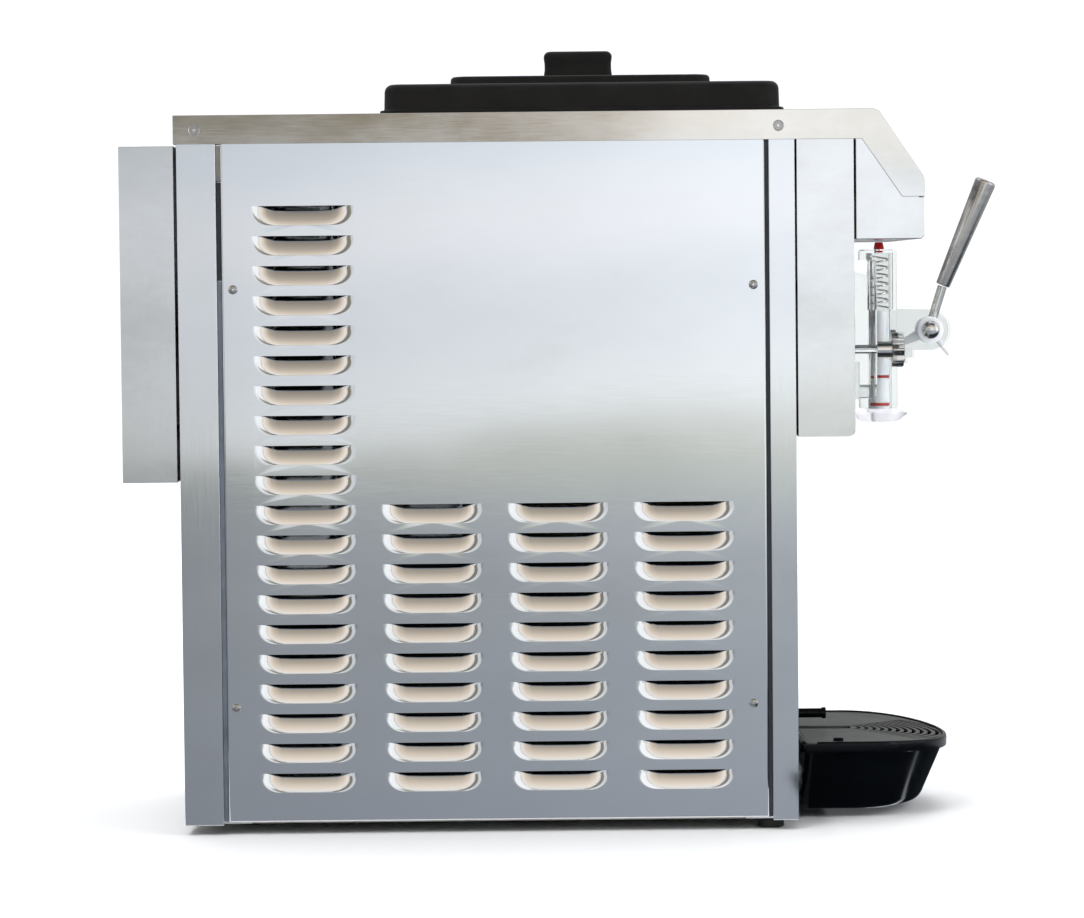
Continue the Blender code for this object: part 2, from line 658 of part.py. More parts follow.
def make_head(looks):
    half = 70.0
    plate = prism(rounded(-half, half, 427.0, 571.0, 22.0, 4), "x", HEAD_REAR, HEAD_PLATE_FRONT)
    tower = rounded(695.0, TOWER_FRONT, -19.0, 19.0, 7.0)
    edge = rounded(697.0, TOWER_FRONT - 2.0, -17.0, 17.0, 5.0)
    join(plate, loft([level(tower, TOWER_BOTTOM), level(tower, TOWER_TOP - 2), level(edge, TOWER_TOP)]))
    ear = [(700.0, 476.5), (PIVOT_X, PIVOT_Z - EAR_RADIUS)]
    for k in range(1, 12):
        a = radians(-90.0 + 15.5 * k)
        ear.append((PIVOT_X + EAR_RADIUS * cos(a), PIVOT_Z + EAR_RADIUS * sin(a)))
    ear += [(PIVOT_X - 6.0, 519.0), (700.0, 520.5)]
    for side in (-1, 1):
        low, high = sorted((side * EAR_GAP, side * EAR_OUTER))
        join(plate, prism(ear, "y", low, high))
    tab = [(728.0, 463.0), (744.0, 463.0), (744.0, 468.5), (751.0, 468.5), (751.0, 478.0), (728.0, 478.0)]
    for side in (-1, 1):
        low, high = sorted((side * EAR_GAP, side * (EAR_OUTER - 1.0)))
        join(plate, prism(tab, "y", low, high))
    x = PLUNGER_X
    cut(plate, rod(SPRING_RADIUS + 1.2, (x, 0, 519.0), (x, 0, 577.8), 24))
    cut(plate, rod(PLUNGER_RADIUS + 0.6, (x, 0, 400.0), (x, 0, 520.0), 24))
    cut(plate, rod(5.0, (x, 0, 570.0), (x, 0, 590.0), 12))
    cut(plate, box(PLUNGER_X, 760.0, -6.0, 6.0, 464.0, 518.0))
    cut(plate, rod(45.0, (670.0, 0, AXIS_Z), (687.0, 0, AXIS_Z), 28))
    cut(plate, box(683.0, 694.0, -8.0, 8.0, 430.0, 465.0))
    cut(plate, rod(7.0, (690.0, 0, 437.0), (x, 0, 437.0), 12))
    cut(plate, rod(5.4, (PIVOT_X, -30.0, PIVOT_Z), (PIVOT_X, 30.0, PIVOT_Z), 16))
    for y in (-NUT_Y, NUT_Y):
        cut(plate, rod(4.8, (670.0, y, NUT_Z), (720.0, y, NUT_Z), 12))
    finish(plate, "dispensing_head", looks["clear"], 30)

    cap = [(4.4, 0.0), (4.4, 3.9), (5.6, 4.0), (4.2, 10.6), (3.4, 11.0)]
    finish(spin(cap, (x, 0, 578.3), (0, 0, 1), 16), "spring_cap", looks["red"], 30)

    def dish(grow, z, tip):
        ring = []
        for k in range(24):
            a = 2 * pi * k / 24
            r = 24.0 + grow
            nose = tip * max(0.0, cos(a)) ** 6
            ring.append((x - 1.0 + (r + nose) * cos(a), (r + nose) * sin(a), z))
        return ring

    nozzle = loft([dish(-12.0, 402.0, 0.0), dish(-1.0, 405.0, 0.0), dish(0.0, 410.0, 6.0),
                   dish(-2.0, 412.5, 6.0), dish(-4.0, 415.6, 0.0)])
    cut(nozzle, rod(8.0, (x, 0, 395.0), (x, 0, 412.0), 10))
    cut(nozzle, rod(PLUNGER_RADIUS + 0.7, (x, 0, 410.0), (x, 0, 420.0), 20))
    finish(nozzle, "nozzle_cap", looks["frosted"], 35)

    plunger = spin([(9.0, 0.0), (11.5, 2.0), (11.5, 4.6), (10.0, 4.8), (10.0, 8.2), (11.5, 8.4),
                    (11.5, 33.6), (10.0, 33.8), (10.0, 37.2), (11.5, 37.4), (11.5, 104.0),
                    (10.8, 104.6)], (x, 0, 413.6), (0, 0, 1), 18)
    cut(plunger, box(x - 20.0, x + 20.0, -5.2, 5.2, 466.0, 483.5))
    finish(plunger, "valve_plunger", looks["white"], 30, (x, 0, 413.6))
    for name, z in (("lower_o_ring", 420.1), ("upper_o_ring", 449.1)):
        ring = [(10.3, -1.0), (11.9, -0.9), (11.9, 0.9), (10.3, 1.0)]
        finish(spin(ring, (x, 0, z), (0, 0, 1), 18, True), name, looks["red"], 50, (x, 0, z))

    rings = []
    turns = 6.6
    steps = 10
    total = int(turns * steps)
    for i in range(total + 1):
        a = 2 * pi * i / steps
        z = 520.2 + (576.4 - 520.2) * i / total
        out = Vector((cos(a), sin(a), 0))
        centre = Vector((x, 0, z)) + out * (SPRING_RADIUS - 1.1)
        ring = []
        for k in range(4):
            b = 2 * pi * k / 4
            ring.append(tuple(centre + out * 1.05 * cos(b) + Vector((0, 0, 1.05 * sin(b)))))
        rings.append(ring)
    finish(loft(rings), "valve_spring", looks["satin"], 60, (x, 0, 577.0))

    for name, side in (("hand_nut_right", -1), ("hand_nut_left", 1)):
        base = Vector((708.2, side * NUT_Y, NUT_Z))
        stub = rod(9.0, base, base + Vector((17.0, 0, 0)), 20)
        ring = []
        for k in range(32):
            a = 2 * pi * k / 32
            r = 16.2 + 1.8 * cos(8 * a)
            ring.append((base.y + r * cos(a), base.z + r * sin(a)))
        join(stub, prism(ring, "x", 724.0, 737.0))
        cut(stub, rod(4.5, base - Vector((5, 0, 0)), base + Vector((24.0, 0, 0)), 12))
        finish(stub, name, looks["satin"], 30, base)

    y = EAR_OUTER + GAP
    for name, side in (("pivot_bush_right", -1), ("pivot_bush_left", 1)):
        low = min(side * y, side * (y + 2.2))
        ring = [(5.6, 0.0), (13.7, 0.0), (13.7, 2.2), (5.6, 2.2)]
        shape = spin(ring, (PIVOT_X, low, PIVOT_Z), (0, 1, 0), 18, True)
        finish(shape, name, looks["white"], 30)
    head = y + 2.2 + GAP
    dome = [(9.7, 0.0), (9.7, 2.5), (8.6, 5.0), (6.0, 7.2), (2.5, 8.3)]
    bolt = [(r, -head - h) for r, h in dome[::-1]]
    bolt += [(5.0, -head), (5.0, head + 2.0)]
    finish(spin(bolt, (PIVOT_X, 0, PIVOT_Z), (0, 1, 0), 16), "pivot_bolt", looks["satin"], 30)
    nut = [(r, head + h) for r, h in dome]
    nut = spin(nut, (PIVOT_X, 0, PIVOT_Z), (0, 1, 0), 16)
    cut(nut, rod(5.3, (PIVOT_X, head - 5.0, PIVOT_Z), (PIVOT_X, head + 2.5, PIVOT_Z), 16))
    finish(nut, "pivot_nut", looks["satin"], 30)


def make_lever(looks):
    pivot = Vector((PIVOT_X, 0, PIVOT_Z))
    base = Vector((GRIP_BASE[0], 0, GRIP_BASE[1]))
    top = Vector((GRIP_TOP[0], 0, GRIP_TOP[1]))
    rise = (base - pivot).normalized()
    reach = (PIVOT_X - PLUNGER_X) / cos(radians(ARM_ANGLE))
    inward = Vector((-cos(radians(ARM_ANGLE)), 0, -sin(radians(ARM_ANGLE))))
    hub = rod(14.0, pivot - Vector((0, 8.4, 0)), pivot + Vector((0, 8.4, 0)), 24)
    tip = pivot + inward * reach
    up = Vector((-inward.z, 0, inward.x)) * -1.0
    ring = []
    for distance, half in ((8.0, 6.0), (30.0, 3.6), (reach - 2.0, 2.6)):
        ring.append((distance, half))
    outline = [pivot + inward * d + up * h for d, h in ring]
    outline += [pivot + inward * d - up * h for d, h in ring[::-1]]
    join(hub, prism([(p.x, p.z) for p in outline], "y", -4.4, 4.4))
    join(hub, rod(4.4, tip - Vector((0, 4.6, 0)), tip + Vector((0, 4.6, 0)), 14))
    tail = Vector((sin(radians(40.0)), 0, -cos(radians(40.0))))
    join(hub, rod(3.0, pivot + tail * 10.0, pivot + tail * 34.0, 10))
    cut(hub, rod(5.4, pivot - Vector((0, 20, 0)), pivot + Vector((0, 20, 0))))
    cut(hub, rod(5.2, pivot + rise * 9.0, pivot + rise * 30.0))
    finish(hub, "lever_hub", looks["white"], 30, pivot)
    length = (base - pivot).length - 1.0
    finish(rod(4.9, pivot + rise * 9.4, pivot + rise * length), "lever_rod", looks["satin"], 30, pivot)
    line = top - base
    h = line.length
    grip = [(5.5, 0.0), (7.2, 0.4), (7.6, 2.0), (11.1, h - 3.4), (10.6, h - 1.2), (9.0, h), (3.0, h + 0.3)]
    finish(spin(grip, base, line, 20), "lever_grip", looks["satin"], 35, pivot)


def tray_outline(inset, z, droop=0.0, extra=0.0, rear=None):
    """D-shaped plan of the tray, dropping a little towards its nose."""
    x_rear = TRAY_REAR + inset if rear is None else rear
    half = TRAY_HALF_WIDTH - inset - extra
    nose = TRAY_NOSE - inset - extra * 0.75
    shoulder = TRAY_SHOULDER
    plan = [(x_rear, -half)]
    for k in range(17):
        a = radians(-90.0 + 180.0 * k / 16)
        plan.append((shoulder + (nose - shoulder) * cos(a), half * sin(a)))
    plan.append((x_rear, half))
    ring = []
    for x, y in plan:
        fall = max(0.0, (x - shoulder) / (TRAY_NOSE - shoulder)) ** 2
        ring.append((x, y, z - droop * fall))
    return ring


def make_tray(looks):
    rim = TRAY_RIM
    low = TRAY_BOTTOM
    fall = TRAY_DROOP
    rings = [tray_outline(6, low, 0, 40), tray_outline(2.5, low + 2, 0, 37), tray_outline(1, low + 7, 0, 33)]
    rings += [tray_outline(5.0, rim - 11, fall), tray_outline(0.6, rim - 11, fall)]
    rings += [tray_outline(0, rim - 2.5, fall), tray_outline(1.6, rim, fall)]
    rings += [tray_outline(4.0, rim, fall), tray_outline(4.6, rim - 4.4, fall)]
    rings += [tray_outline(8.0, rim - 4.6, fall), tray_outline(5, low + 8, 0, 34)]
    rings += [tray_outline(9, low + 3, 0, 38)]
    tray = loft(rings)
    cut(tray, box(610.0, 638.0, -160.0, -141.0, rim - 2.6, rim + 5.0))
    finish(tray, "drip_tray", looks["gloss"], 40, (TRAY_REAR, 0, rim))

    ledge = rim - 4.2
    plate = loft([tray_outline(5.2, ledge, fall), tray_outline(5.0, ledge + 2.6, fall)])
    # A slot open at the rear edge passes the spout, so that the grille lifts straight out.
    slots = [box(600.0, 683.0, SPOUT_Y - 12.5, SPOUT_Y + 12.5, 55.0, 95.0)]
    for k in range(12):
        r = 20.0 + GRILLE_PITCH * k
        ring = []
        sweep = radians(52.0)
        count = 7
        for i in range(count + 1):
            a = -sweep + 2 * sweep * i / count
            ring.append((672.0 + (r + 2.1) * cos(a), (r + 2.1) * sin(a)))
        for i in range(count, -1, -1):
            a = -sweep + 2 * sweep * i / count
            ring.append((672.0 + (r - 2.1) * cos(a), (r - 2.1) * sin(a)))
        slots.append(prism(ring, "z", 55.0, 95.0))
    slots.append(prism(rounded(655.0, 667.0, -128.0, -121.0, 3.4, 2), "z", 55.0, 95.0))
    cut(plate, *slots)
    finish(plate, "drip_grille", looks["grey"], None, (TRAY_REAR, 0, ledge))

    hook = box(BODY_DEPTH + GAP, TRAY_REAR - 0.6, -60.0, 60.0, 46.0, 74.0)
    finish(hook, "tray_bracket", looks["inner"])
    tip = SPOUT_REACH
    spout = [(3.6, -6.0), (3.6, 0.3), (4.9, 0.5), (4.9, tip - 4.6), (5.8, tip - 4.4), (5.8, tip)]
    spout += [(2.8, tip), (2.8, -6.0)]
    spout = spin(spout, (BODY_DEPTH, SPOUT_Y, SPOUT_Z), (1, 0, 0), 12, True)
    finish(spout, "drip_spout", looks["gloss"], 30)

    feet = (("front_foot_right", 589.0, -168.0), ("front_foot_left", 589.0, 168.0))
    feet += (("rear_foot_right", 60.0, -104.0), ("rear_foot_left", 60.0, 104.0))
    for name, fx, fy in feet:
        foot = [(12.0, 0.0), (13.2, 1.0), (13.2, 7.5), (12.4, BODY_BOTTOM - GAP)]
        finish(spin(foot, (fx, fy, 0.0), (0, 0, 1), 20), name, looks["rubber"], 40)


clear_scene()
LOOKS = make_looks()
make_frame(LOOKS)
make_top(LOOKS)
make_hopper(LOOKS)
make_cold_parts(LOOKS)
make_head(LOOKS)
make_lever(LOOKS)
make_tray(LOOKS)
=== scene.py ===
"""Looks of the countertop soft serve machine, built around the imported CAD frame.

Lengths are millimetres in the machine's own axes and become metres in at():
x from the cabinet's rear face to the front, y to the machine's left, z up.
"""

from math import cos, pi, radians, sin

import bmesh
import bpy
from mathutils import Matrix, Vector
from mathutils.geometry import delaunay_2d_cdt


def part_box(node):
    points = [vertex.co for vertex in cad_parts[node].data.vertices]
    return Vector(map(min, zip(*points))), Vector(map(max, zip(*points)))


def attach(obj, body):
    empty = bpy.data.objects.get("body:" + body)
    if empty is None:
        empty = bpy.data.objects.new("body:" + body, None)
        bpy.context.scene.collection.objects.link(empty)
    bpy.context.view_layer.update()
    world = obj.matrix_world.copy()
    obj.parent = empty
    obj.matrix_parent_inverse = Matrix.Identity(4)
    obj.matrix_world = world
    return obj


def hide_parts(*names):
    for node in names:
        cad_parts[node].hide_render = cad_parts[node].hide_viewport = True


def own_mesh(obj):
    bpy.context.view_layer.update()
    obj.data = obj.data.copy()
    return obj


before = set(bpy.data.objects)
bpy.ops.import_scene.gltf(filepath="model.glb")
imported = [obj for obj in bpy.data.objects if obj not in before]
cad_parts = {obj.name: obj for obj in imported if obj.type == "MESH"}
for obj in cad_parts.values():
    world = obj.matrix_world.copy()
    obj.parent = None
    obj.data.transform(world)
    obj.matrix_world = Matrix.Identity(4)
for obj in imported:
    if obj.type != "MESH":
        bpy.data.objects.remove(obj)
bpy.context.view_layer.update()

MM = 0.001
REAR_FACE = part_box("rear_panel")[0][0] / MM      # x of the cabinet's rear face in the row frame, mm
SIDE_FACE = -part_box("side_panel_right")[0][1] / MM


def at(x, y, z):
    """A point of the machine in the row frame, in metres."""
    return Vector(((x + REAR_FACE) * MM, y * MM, z * MM))


# ---------------------------------------------------------------- mesh tools

def solid(points, faces):
    mesh = bpy.data.meshes.new("shape")
    bm = bmesh.new()
    made = [bm.verts.new(at(*p)) for p in points]
    for face in faces:
        bm.faces.new([made[i] for i in face])
    bmesh.ops.recalc_face_normals(bm, faces=bm.faces)
    bm.to_mesh(mesh)
    bm.free()
    shape = bpy.data.objects.new("shape", mesh)
    bpy.context.collection.objects.link(shape)
    return shape


def applied(shape):
    """Turn the shape's modifiers into its own mesh."""
    graph = bpy.context.evaluated_depsgraph_get()
    graph.update()
    old = shape.data
    shape.data = bpy.data.meshes.new_from_object(shape.evaluated_get(graph))
    shape.modifiers.clear()
    bpy.data.meshes.remove(old)
    return shape


def combine(shape, tools, operation):
    for tool in tools:
        step = shape.modifiers.new("step", "BOOLEAN")
        step.operation = operation
        step.solver = "EXACT"
        step.object = tool
        applied(shape)
        spare = tool.data
        bpy.data.objects.remove(tool)
        bpy.data.meshes.remove(spare)
    return shape


def cut(shape, *tools):
    return combine(shape, tools, "DIFFERENCE")


def join(shape, *tools):
    return combine(shape, tools, "UNION")


def gather(shapes):
    """Put separate shapes into one object, such as a set of equal screws."""
    bm = bmesh.new()
    for shape in shapes:
        bm.from_mesh(shape.data)
    first = shapes[0]
    bm.to_mesh(first.data)
    bm.free()
    for shape in shapes[1:]:
        bpy.data.objects.remove(shape)
    return first


def bevelled(shape, width, segments=3, angle=30.0):
    """Round the edges of a shape by width, in millimetres."""
    weld = shape.modifiers.new("weld", "WELD")
    weld.merge_threshold = 0.00001
    edge = shape.modifiers.new("edge", "BEVEL")
    edge.width = width * MM
    edge.segments = segments
    edge.limit_method = "ANGLE"
    edge.angle_limit = radians(angle)
    edge.use_clamp_overlap = True
    edge.harden_normals = True
    return shape


def box(x0, x1, y0, y1, z0, z1):
    points = [(x, y, z) for x in (x0, x1) for y in (y0, y1) for z in (z0, z1)]
    faces = [(0, 1, 3, 2), (4, 6, 7, 5), (0, 4, 5, 1), (2, 3, 7, 6), (0, 2, 6, 4), (1, 5, 7, 3)]
    return solid(points, faces)


def loft(rings, closed=False):
    count = len(rings[0])
    points = [p for ring in rings for p in ring]
    faces = []
    spans = len(rings) if closed else len(rings) - 1
    for k in range(spans):
        a = k * count
        b = ((k + 1) % len(rings)) * count
        for i in range(count):
            j = (i + 1) % count
            faces.append((a + i, a + j, b + j, b + i))
    if not closed:
        faces.append(tuple(range(count)))
        last = (len(rings) - 1) * count
        faces.append(tuple(last + i for i in range(count)))
    return solid(points, faces)


def prism(outline, axis, low, high):
    def place(p, level):
        if axis == "x":
            return (level, p[0], p[1])
        if axis == "y":
            return (p[0], level, p[1])
        return (p[0], p[1], level)
    return loft([[place(p, low) for p in outline], [place(p, high) for p in outline]])


def cross_axes(along):
    """Two directions square to an axis and to each other."""
    side = Vector((0, 1, 0)) if abs(along.y) < 0.9 else Vector((1, 0, 0))
    u = along.cross(side).normalized()
    return u, along.cross(u)


def spin(profile, centre, direction, steps=64, closed=False):
    """Turn a profile of (radius, height) points about an axis through centre."""
    along = Vector(direction).normalized()
    u, v = cross_axes(along)
    rings = []
    for radius, height in profile:
        ring = []
        for i in range(steps):
            a = 2 * pi * i / steps
            p = Vector(centre) + along * height + (u * cos(a) + v * sin(a)) * radius
            ring.append(tuple(p))
        rings.append(ring)
    return loft(rings, closed)


def rod(radius, start, end, steps=32):
    line = Vector(end) - Vector(start)
    return spin([(radius, 0.0), (radius, line.length)], start, line, steps)


def arc(cx, cy, radius, start, end, segments):
    points = []
    for k in range(segments + 1):
        a = radians(start + (end - start) * k / segments)
        points.append((cx + radius * cos(a), cy + radius * sin(a)))
    return points


def rounded(x0, x1, y0, y1, radius, segments=10):
    outline = arc(x1 - radius, y1 - radius, radius, 0, 90, segments)
    outline += arc(x0 + radius, y1 - radius, radius, 90, 180, segments)
    outline += arc(x0 + radius, y0 + radius, radius, 180, 270, segments)
    outline += arc(x1 - radius, y0 + radius, radius, 270, 360, segments)
    return outline


def level(outline, z):
    return [(p[0], p[1], z) for p in outline]


def piece(shape, name, look, body, slot, *nodes, smooth=32.0):
    """Name a piece, shade it, put it on its body and hide the CAD nodes it stands for."""
    shape.name = name
    shape.data.name = name
    shape.data.materials.clear()
    shape.data.materials.append(look)
    for face in shape.data.polygons:
        face.use_smooth = True
    shape.data.set_sharp_from_angle(angle=radians(smooth))
    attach(shape, body)
    if nodes:
        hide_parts(*nodes)
    return shape


# ---------------------------------------------------------------- materials

class Look:
    """A material with a Principled shader and helpers that add its detail nodes."""

    def __init__(self, name, **sockets):
        self.material = bpy.data.materials.new(name)
        self.material.use_nodes = True
        self.tree = self.material.node_tree
        self.shader = self.tree.nodes["Principled BSDF"]
        for socket, value in sockets.items():
            self.shader.inputs[socket.replace("_", " ")].default_value = value
        self.coords = self.tree.nodes.new("ShaderNodeTexCoord").outputs["Object"]

    def noise(self, scale, detail=4.0, stretch=(1.0, 1.0, 1.0), roughness=0.5):
        place = self.tree.nodes.new("ShaderNodeMapping")
        place.inputs["Scale"].default_value = stretch
        self.tree.links.new(self.coords, place.inputs["Vector"])
        texture = self.tree.nodes.new("ShaderNodeTexNoise")
        texture.inputs["Scale"].default_value = scale
        texture.inputs["Detail"].default_value = detail
        texture.inputs["Roughness"].default_value = roughness
        self.tree.links.new(place.outputs["Vector"], texture.inputs["Vector"])
        return texture.outputs["Fac"]

    def spread(self, factor, low, high, start=0.3, end=0.7):
        """Map a noise between two numbers."""
        ramp = self.tree.nodes.new("ShaderNodeMapRange")
        ramp.inputs["From Min"].default_value = start
        ramp.inputs["From Max"].default_value = end
        ramp.inputs["To Min"].default_value = low
        ramp.inputs["To Max"].default_value = high
        self.tree.links.new(factor, ramp.inputs["Value"])
        return ramp.outputs["Result"]

    def combine(self, a, b, operation="ADD"):
        node = self.tree.nodes.new("ShaderNodeMath")
        node.operation = operation
        self.tree.links.new(a, node.inputs[0])
        self.tree.links.new(b, node.inputs[1])
        return node.outputs[0]

    def colours(self, factor, *stops):
        """Colour between stops of (position, colour) along a factor."""
        ramp = self.tree.nodes.new("ShaderNodeValToRGB")
        points = ramp.color_ramp.elements
        while len(points) < len(stops):
            points.new(0.5)
        for point, (position, colour) in zip(points, stops):
            point.position = position
            point.color = (*colour, 1.0)
        self.tree.links.new(factor, ramp.inputs["Fac"])
        self.tree.links.new(ramp.outputs["Color"], self.shader.inputs["Base Color"])
        return self

    def rough(self, value):
        self.tree.links.new(value, self.shader.inputs["Roughness"])
        return self

    def bump(self, height, strength, distance):
        node = self.tree.nodes.new("ShaderNodeBump")
        node.inputs["Strength"].default_value = strength
        node.inputs["Distance"].default_value = distance * MM
        self.tree.links.new(height, node.inputs["Height"])
        self.tree.links.new(node.outputs["Normal"], self.shader.inputs["Normal"])
        return self


def steel(name, light, dark, low, high, along, smear=3.0, grain=0.02, wave=0.25):
    """Stainless sheet: fine grain along one axis, wiping marks, and slightly wavy as rolled sheet is."""
    look = Look(name, Metallic=1.0)
    stretch = [1600.0, 1600.0, 1600.0]
    stretch["xyz".index(along)] = 40.0
    lines = look.noise(1.0, 2.0, stretch)
    marks = look.noise(smear, 6.0, (1.0, 1.0, 1.8), 0.62)
    waves = look.noise(5.0, 1.0, (1.0, 1.0, 1.4), 0.4)
    stain = tuple(c * k for c, k in zip(dark, (0.93, 0.92, 0.90)))
    shade = look.combine(look.spread(lines, -grain, grain), marks)
    look.colours(shade, (0.24, stain), (0.40, dark), (0.64, light))
    look.rough(look.combine(look.spread(lines, -grain, grain), look.spread(marks, low, high)))
    look.bump(waves, 1.0, wave)
    return look.material


def turned_steel(name, colour, low, high):
    """Machined or polished part: fine rings in every direction, small scuffs."""
    look = Look(name, Metallic=1.0)
    fine = look.noise(700.0, 2.0)
    scuffs = look.noise(60.0, 6.0, (1.0, 1.0, 3.0), 0.65)
    dark = tuple(c * 0.86 for c in colour)
    look.colours(scuffs, (0.3, dark), (0.7, colour))
    look.rough(look.spread(scuffs, low, high))
    look.bump(fine, 0.04, 0.02)
    return look.material


def plastic(name, light, dark, low, high, grain=900.0, strength=0.12, **sockets):
    """Moulded plastic with spark-eroded texture and light scuffing."""
    look = Look(name, **sockets)
    pores = look.noise(grain, 3.0)
    scuffs = look.noise(22.0, 6.0, (1.0, 1.0, 1.6), 0.62)
    look.colours(scuffs, (0.3, dark), (0.72, light))
    look.rough(look.combine(look.spread(pores, -0.02, 0.03), look.spread(scuffs, low, high)))
    look.bump(pores, strength, 0.05)
    return look.material


def clear_plastic(name, colour, low, high, **sockets):
    look = Look(name, Transmission_Weight=1.0, IOR=1.16, **sockets)
    haze = look.noise(35.0, 5.0, (1.0, 1.0, 1.0), 0.6)
    soft = tuple(c * 0.96 for c in colour)
    look.colours(haze, (0.3, soft), (0.7, colour))
    look.rough(look.spread(haze, low, high))
    look.bump(haze, 0.03, 0.1)
    return look.material


def make_looks():
    looks = {}
    looks["panel"] = steel("side_panel_steel", (0.81, 0.82, 0.83), (0.77, 0.78, 0.79), 0.05, 0.085, "x")
    looks["post"] = steel("post_steel", (0.80, 0.81, 0.82), (0.74, 0.75, 0.76), 0.06, 0.10, "z")
    looks["trim"] = steel("top_steel", (0.82, 0.81, 0.80), (0.72, 0.71, 0.68), 0.05, 0.12, "x", 6.0)
    looks["box"] = steel("housing_steel", (0.82, 0.83, 0.84), (0.69, 0.69, 0.68), 0.06, 0.15, "z", 5.0)
    looks["back"] = steel("panel_steel", (0.78, 0.79, 0.80), (0.70, 0.71, 0.72), 0.14, 0.22, "y")
    looks["zinc"] = steel("zinc_sheet", (0.45, 0.45, 0.44), (0.30, 0.30, 0.29), 0.42, 0.6, "x", 12.0)
    looks["tub"] = steel("hopper_steel", (0.78, 0.78, 0.78), (0.66, 0.66, 0.66), 0.16, 0.24, "z")
    # painted shade: near-black colour for the strips set in the panel gaps, where only shade falls
    looks["seam"] = plastic("seam_seal", (0.016, 0.022, 0.030), (0.008, 0.011, 0.016), 0.6, 0.7)
    # painted shade: dark blue-grey colour for the strip lower in the rear panel gap, where only shade falls
    looks["filler"] = plastic("seam_filler", (0.10, 0.12, 0.15), (0.06, 0.075, 0.095), 0.5, 0.6)
    looks["grip"] = turned_steel("satin_grip_steel", (0.62, 0.60, 0.57), 0.19, 0.28)
    looks["polished"] = turned_steel("polished_steel", (0.78, 0.77, 0.75), 0.10, 0.17)
    looks["screw"] = turned_steel("screw_steel", (0.52, 0.51, 0.49), 0.24, 0.34)
    looks["lid"] = plastic("lid_plastic", (0.011, 0.011, 0.010), (0.007, 0.007, 0.007), 0.30, 0.40,
                           Specular_IOR_Level=0.1)
    looks["gloss"] = plastic("tray_plastic", (0.0022, 0.0030, 0.0042), (0.0012, 0.0018, 0.0026),
                             0.10, 0.18,
                             500.0, 0.03, Specular_IOR_Level=0.14)
    looks["grille"] = plastic("grille_plastic", (0.085, 0.088, 0.080), (0.060, 0.062, 0.056), 0.34, 0.46)
    looks["fascia"] = plastic("fascia_plastic", (0.022, 0.022, 0.024), (0.014, 0.014, 0.015), 0.28, 0.36)
    looks["button"] = plastic("button_plastic", (0.42, 0.43, 0.45), (0.34, 0.35, 0.37), 0.38, 0.48)
    looks["rubber"] = plastic("foot_rubber", (0.022, 0.021, 0.020), (0.012, 0.012, 0.011),
                              0.7, 0.85, 400.0, 0.3)
    looks["seal"] = plastic("seal_rubber", (0.62, 0.016, 0.020), (0.42, 0.008, 0.010),
                            0.32, 0.45, 500.0, 0.1)
    looks["cap"] = plastic("cap_plastic", (0.70, 0.010, 0.012), (0.50, 0.005, 0.006),
                           0.25, 0.35, 500.0, 0.06)
    looks["white"] = plastic("white_plastic", (0.88, 0.89, 0.93), (0.80, 0.81, 0.86),
                             0.26, 0.36, 600.0, 0.05,
                             Subsurface_Weight=0.15, Subsurface_Scale=0.004)
    looks["clear"] = clear_plastic("clear_polycarbonate", (0.84, 0.86, 0.85), 0.04, 0.10)
    looks["frosted"] = clear_plastic("frosted_plastic", (0.88, 0.88, 0.90), 0.38, 0.5)
    looks["lens"] = plastic("display_window", (0.012, 0.016, 0.030), (0.007, 0.010, 0.020),
                            0.05, 0.10, 300.0, 0.02)
    looks["foam"] = plastic("insulating_foam", (0.75, 0.68, 0.45), (0.60, 0.53, 0.32),
                            0.85, 0.95, 120.0, 0.6)
    looks["paint"] = plastic("painted_casting", (0.030, 0.030, 0.033), (0.016, 0.016, 0.018), 0.35, 0.5)
    looks["fins"] = steel("condenser_aluminium", (0.75, 0.76, 0.77), (0.58, 0.59, 0.60),
                          0.3, 0.42, "z", 20.0)
    looks["light"] = plastic("indicator_lens", (0.10, 0.55, 0.16), (0.06, 0.40, 0.10),
                             0.12, 0.2, 300.0, 0.02)
    return looks


# ---------------------------------------------------------------- cabinet

LOUVRE_FLAT = 35.0
LOUVRE_RADIUS = 16.0
LOUVRE_HEIGHT = 19.5
LOUVRE_DEPTH = 8.0
LOUVRE_END = 27.0
LOUVRE_DROPS = (0.0, 1.2, 2.6, 4.4, 6.6, 9.0, 11.5, 14.0, 16.0, 17.4, 18.3, 19.0, 19.5)
LOUVRE_SIDE = (1.0, 0.975, 0.945, 0.91, 0.87, 0.82, 0.76, 0.68, 0.55, 0.3)
LOUVRE_SHARES = [-f for f in LOUVRE_SIDE] + [0.0] + [f for f in LOUVRE_SIDE[::-1]]
LOUVRE_PITCH = 29.9
LOUVRE_FIRST = 630.0
LOUVRE_ROWS = 20
LOUVRE_SHORT_FROM = 10
LOUVRE_COLUMNS = (125.0, 251.0, 377.0, 503.0)
PANEL_SHEET = 1.2
PANEL_BEND = 1.8


def louvre_half_width(drop):
    """Half the louvre's width at a distance below its top edge."""
    below = max(0.0, drop - (LOUVRE_HEIGHT - LOUVRE_RADIUS)) / LOUVRE_RADIUS
    return LOUVRE_FLAT + LOUVRE_RADIUS * (1.0 - min(1.0, below * below)) ** 0.5


def louvre_depth(across, drop):
    """How far the sheet is pressed in: deepest at the middle of the slit, easing out at the ends."""
    rise = (LOUVRE_HEIGHT - drop) / LOUVRE_HEIGHT
    floor = LOUVRE_DEPTH * (0.58 * rise + 0.42 * rise * rise)
    room = max(0.0, louvre_half_width(drop) - abs(across))
    ease = min(1.0, room / LOUVRE_END)
    return floor * ease * ease * (3.0 - 2.0 * ease)


def louvre_grid(cx, top):
    """Rows of points over one louvre, from its slit down to the bottom crease."""
    rows = []
    for drop in LOUVRE_DROPS:
        half = louvre_half_width(drop)
        row = []
        for share in LOUVRE_SHARES:
            row.append((cx + share * half, top - drop, louvre_depth(share * half, drop)))
        rows.append(row)
    return rows


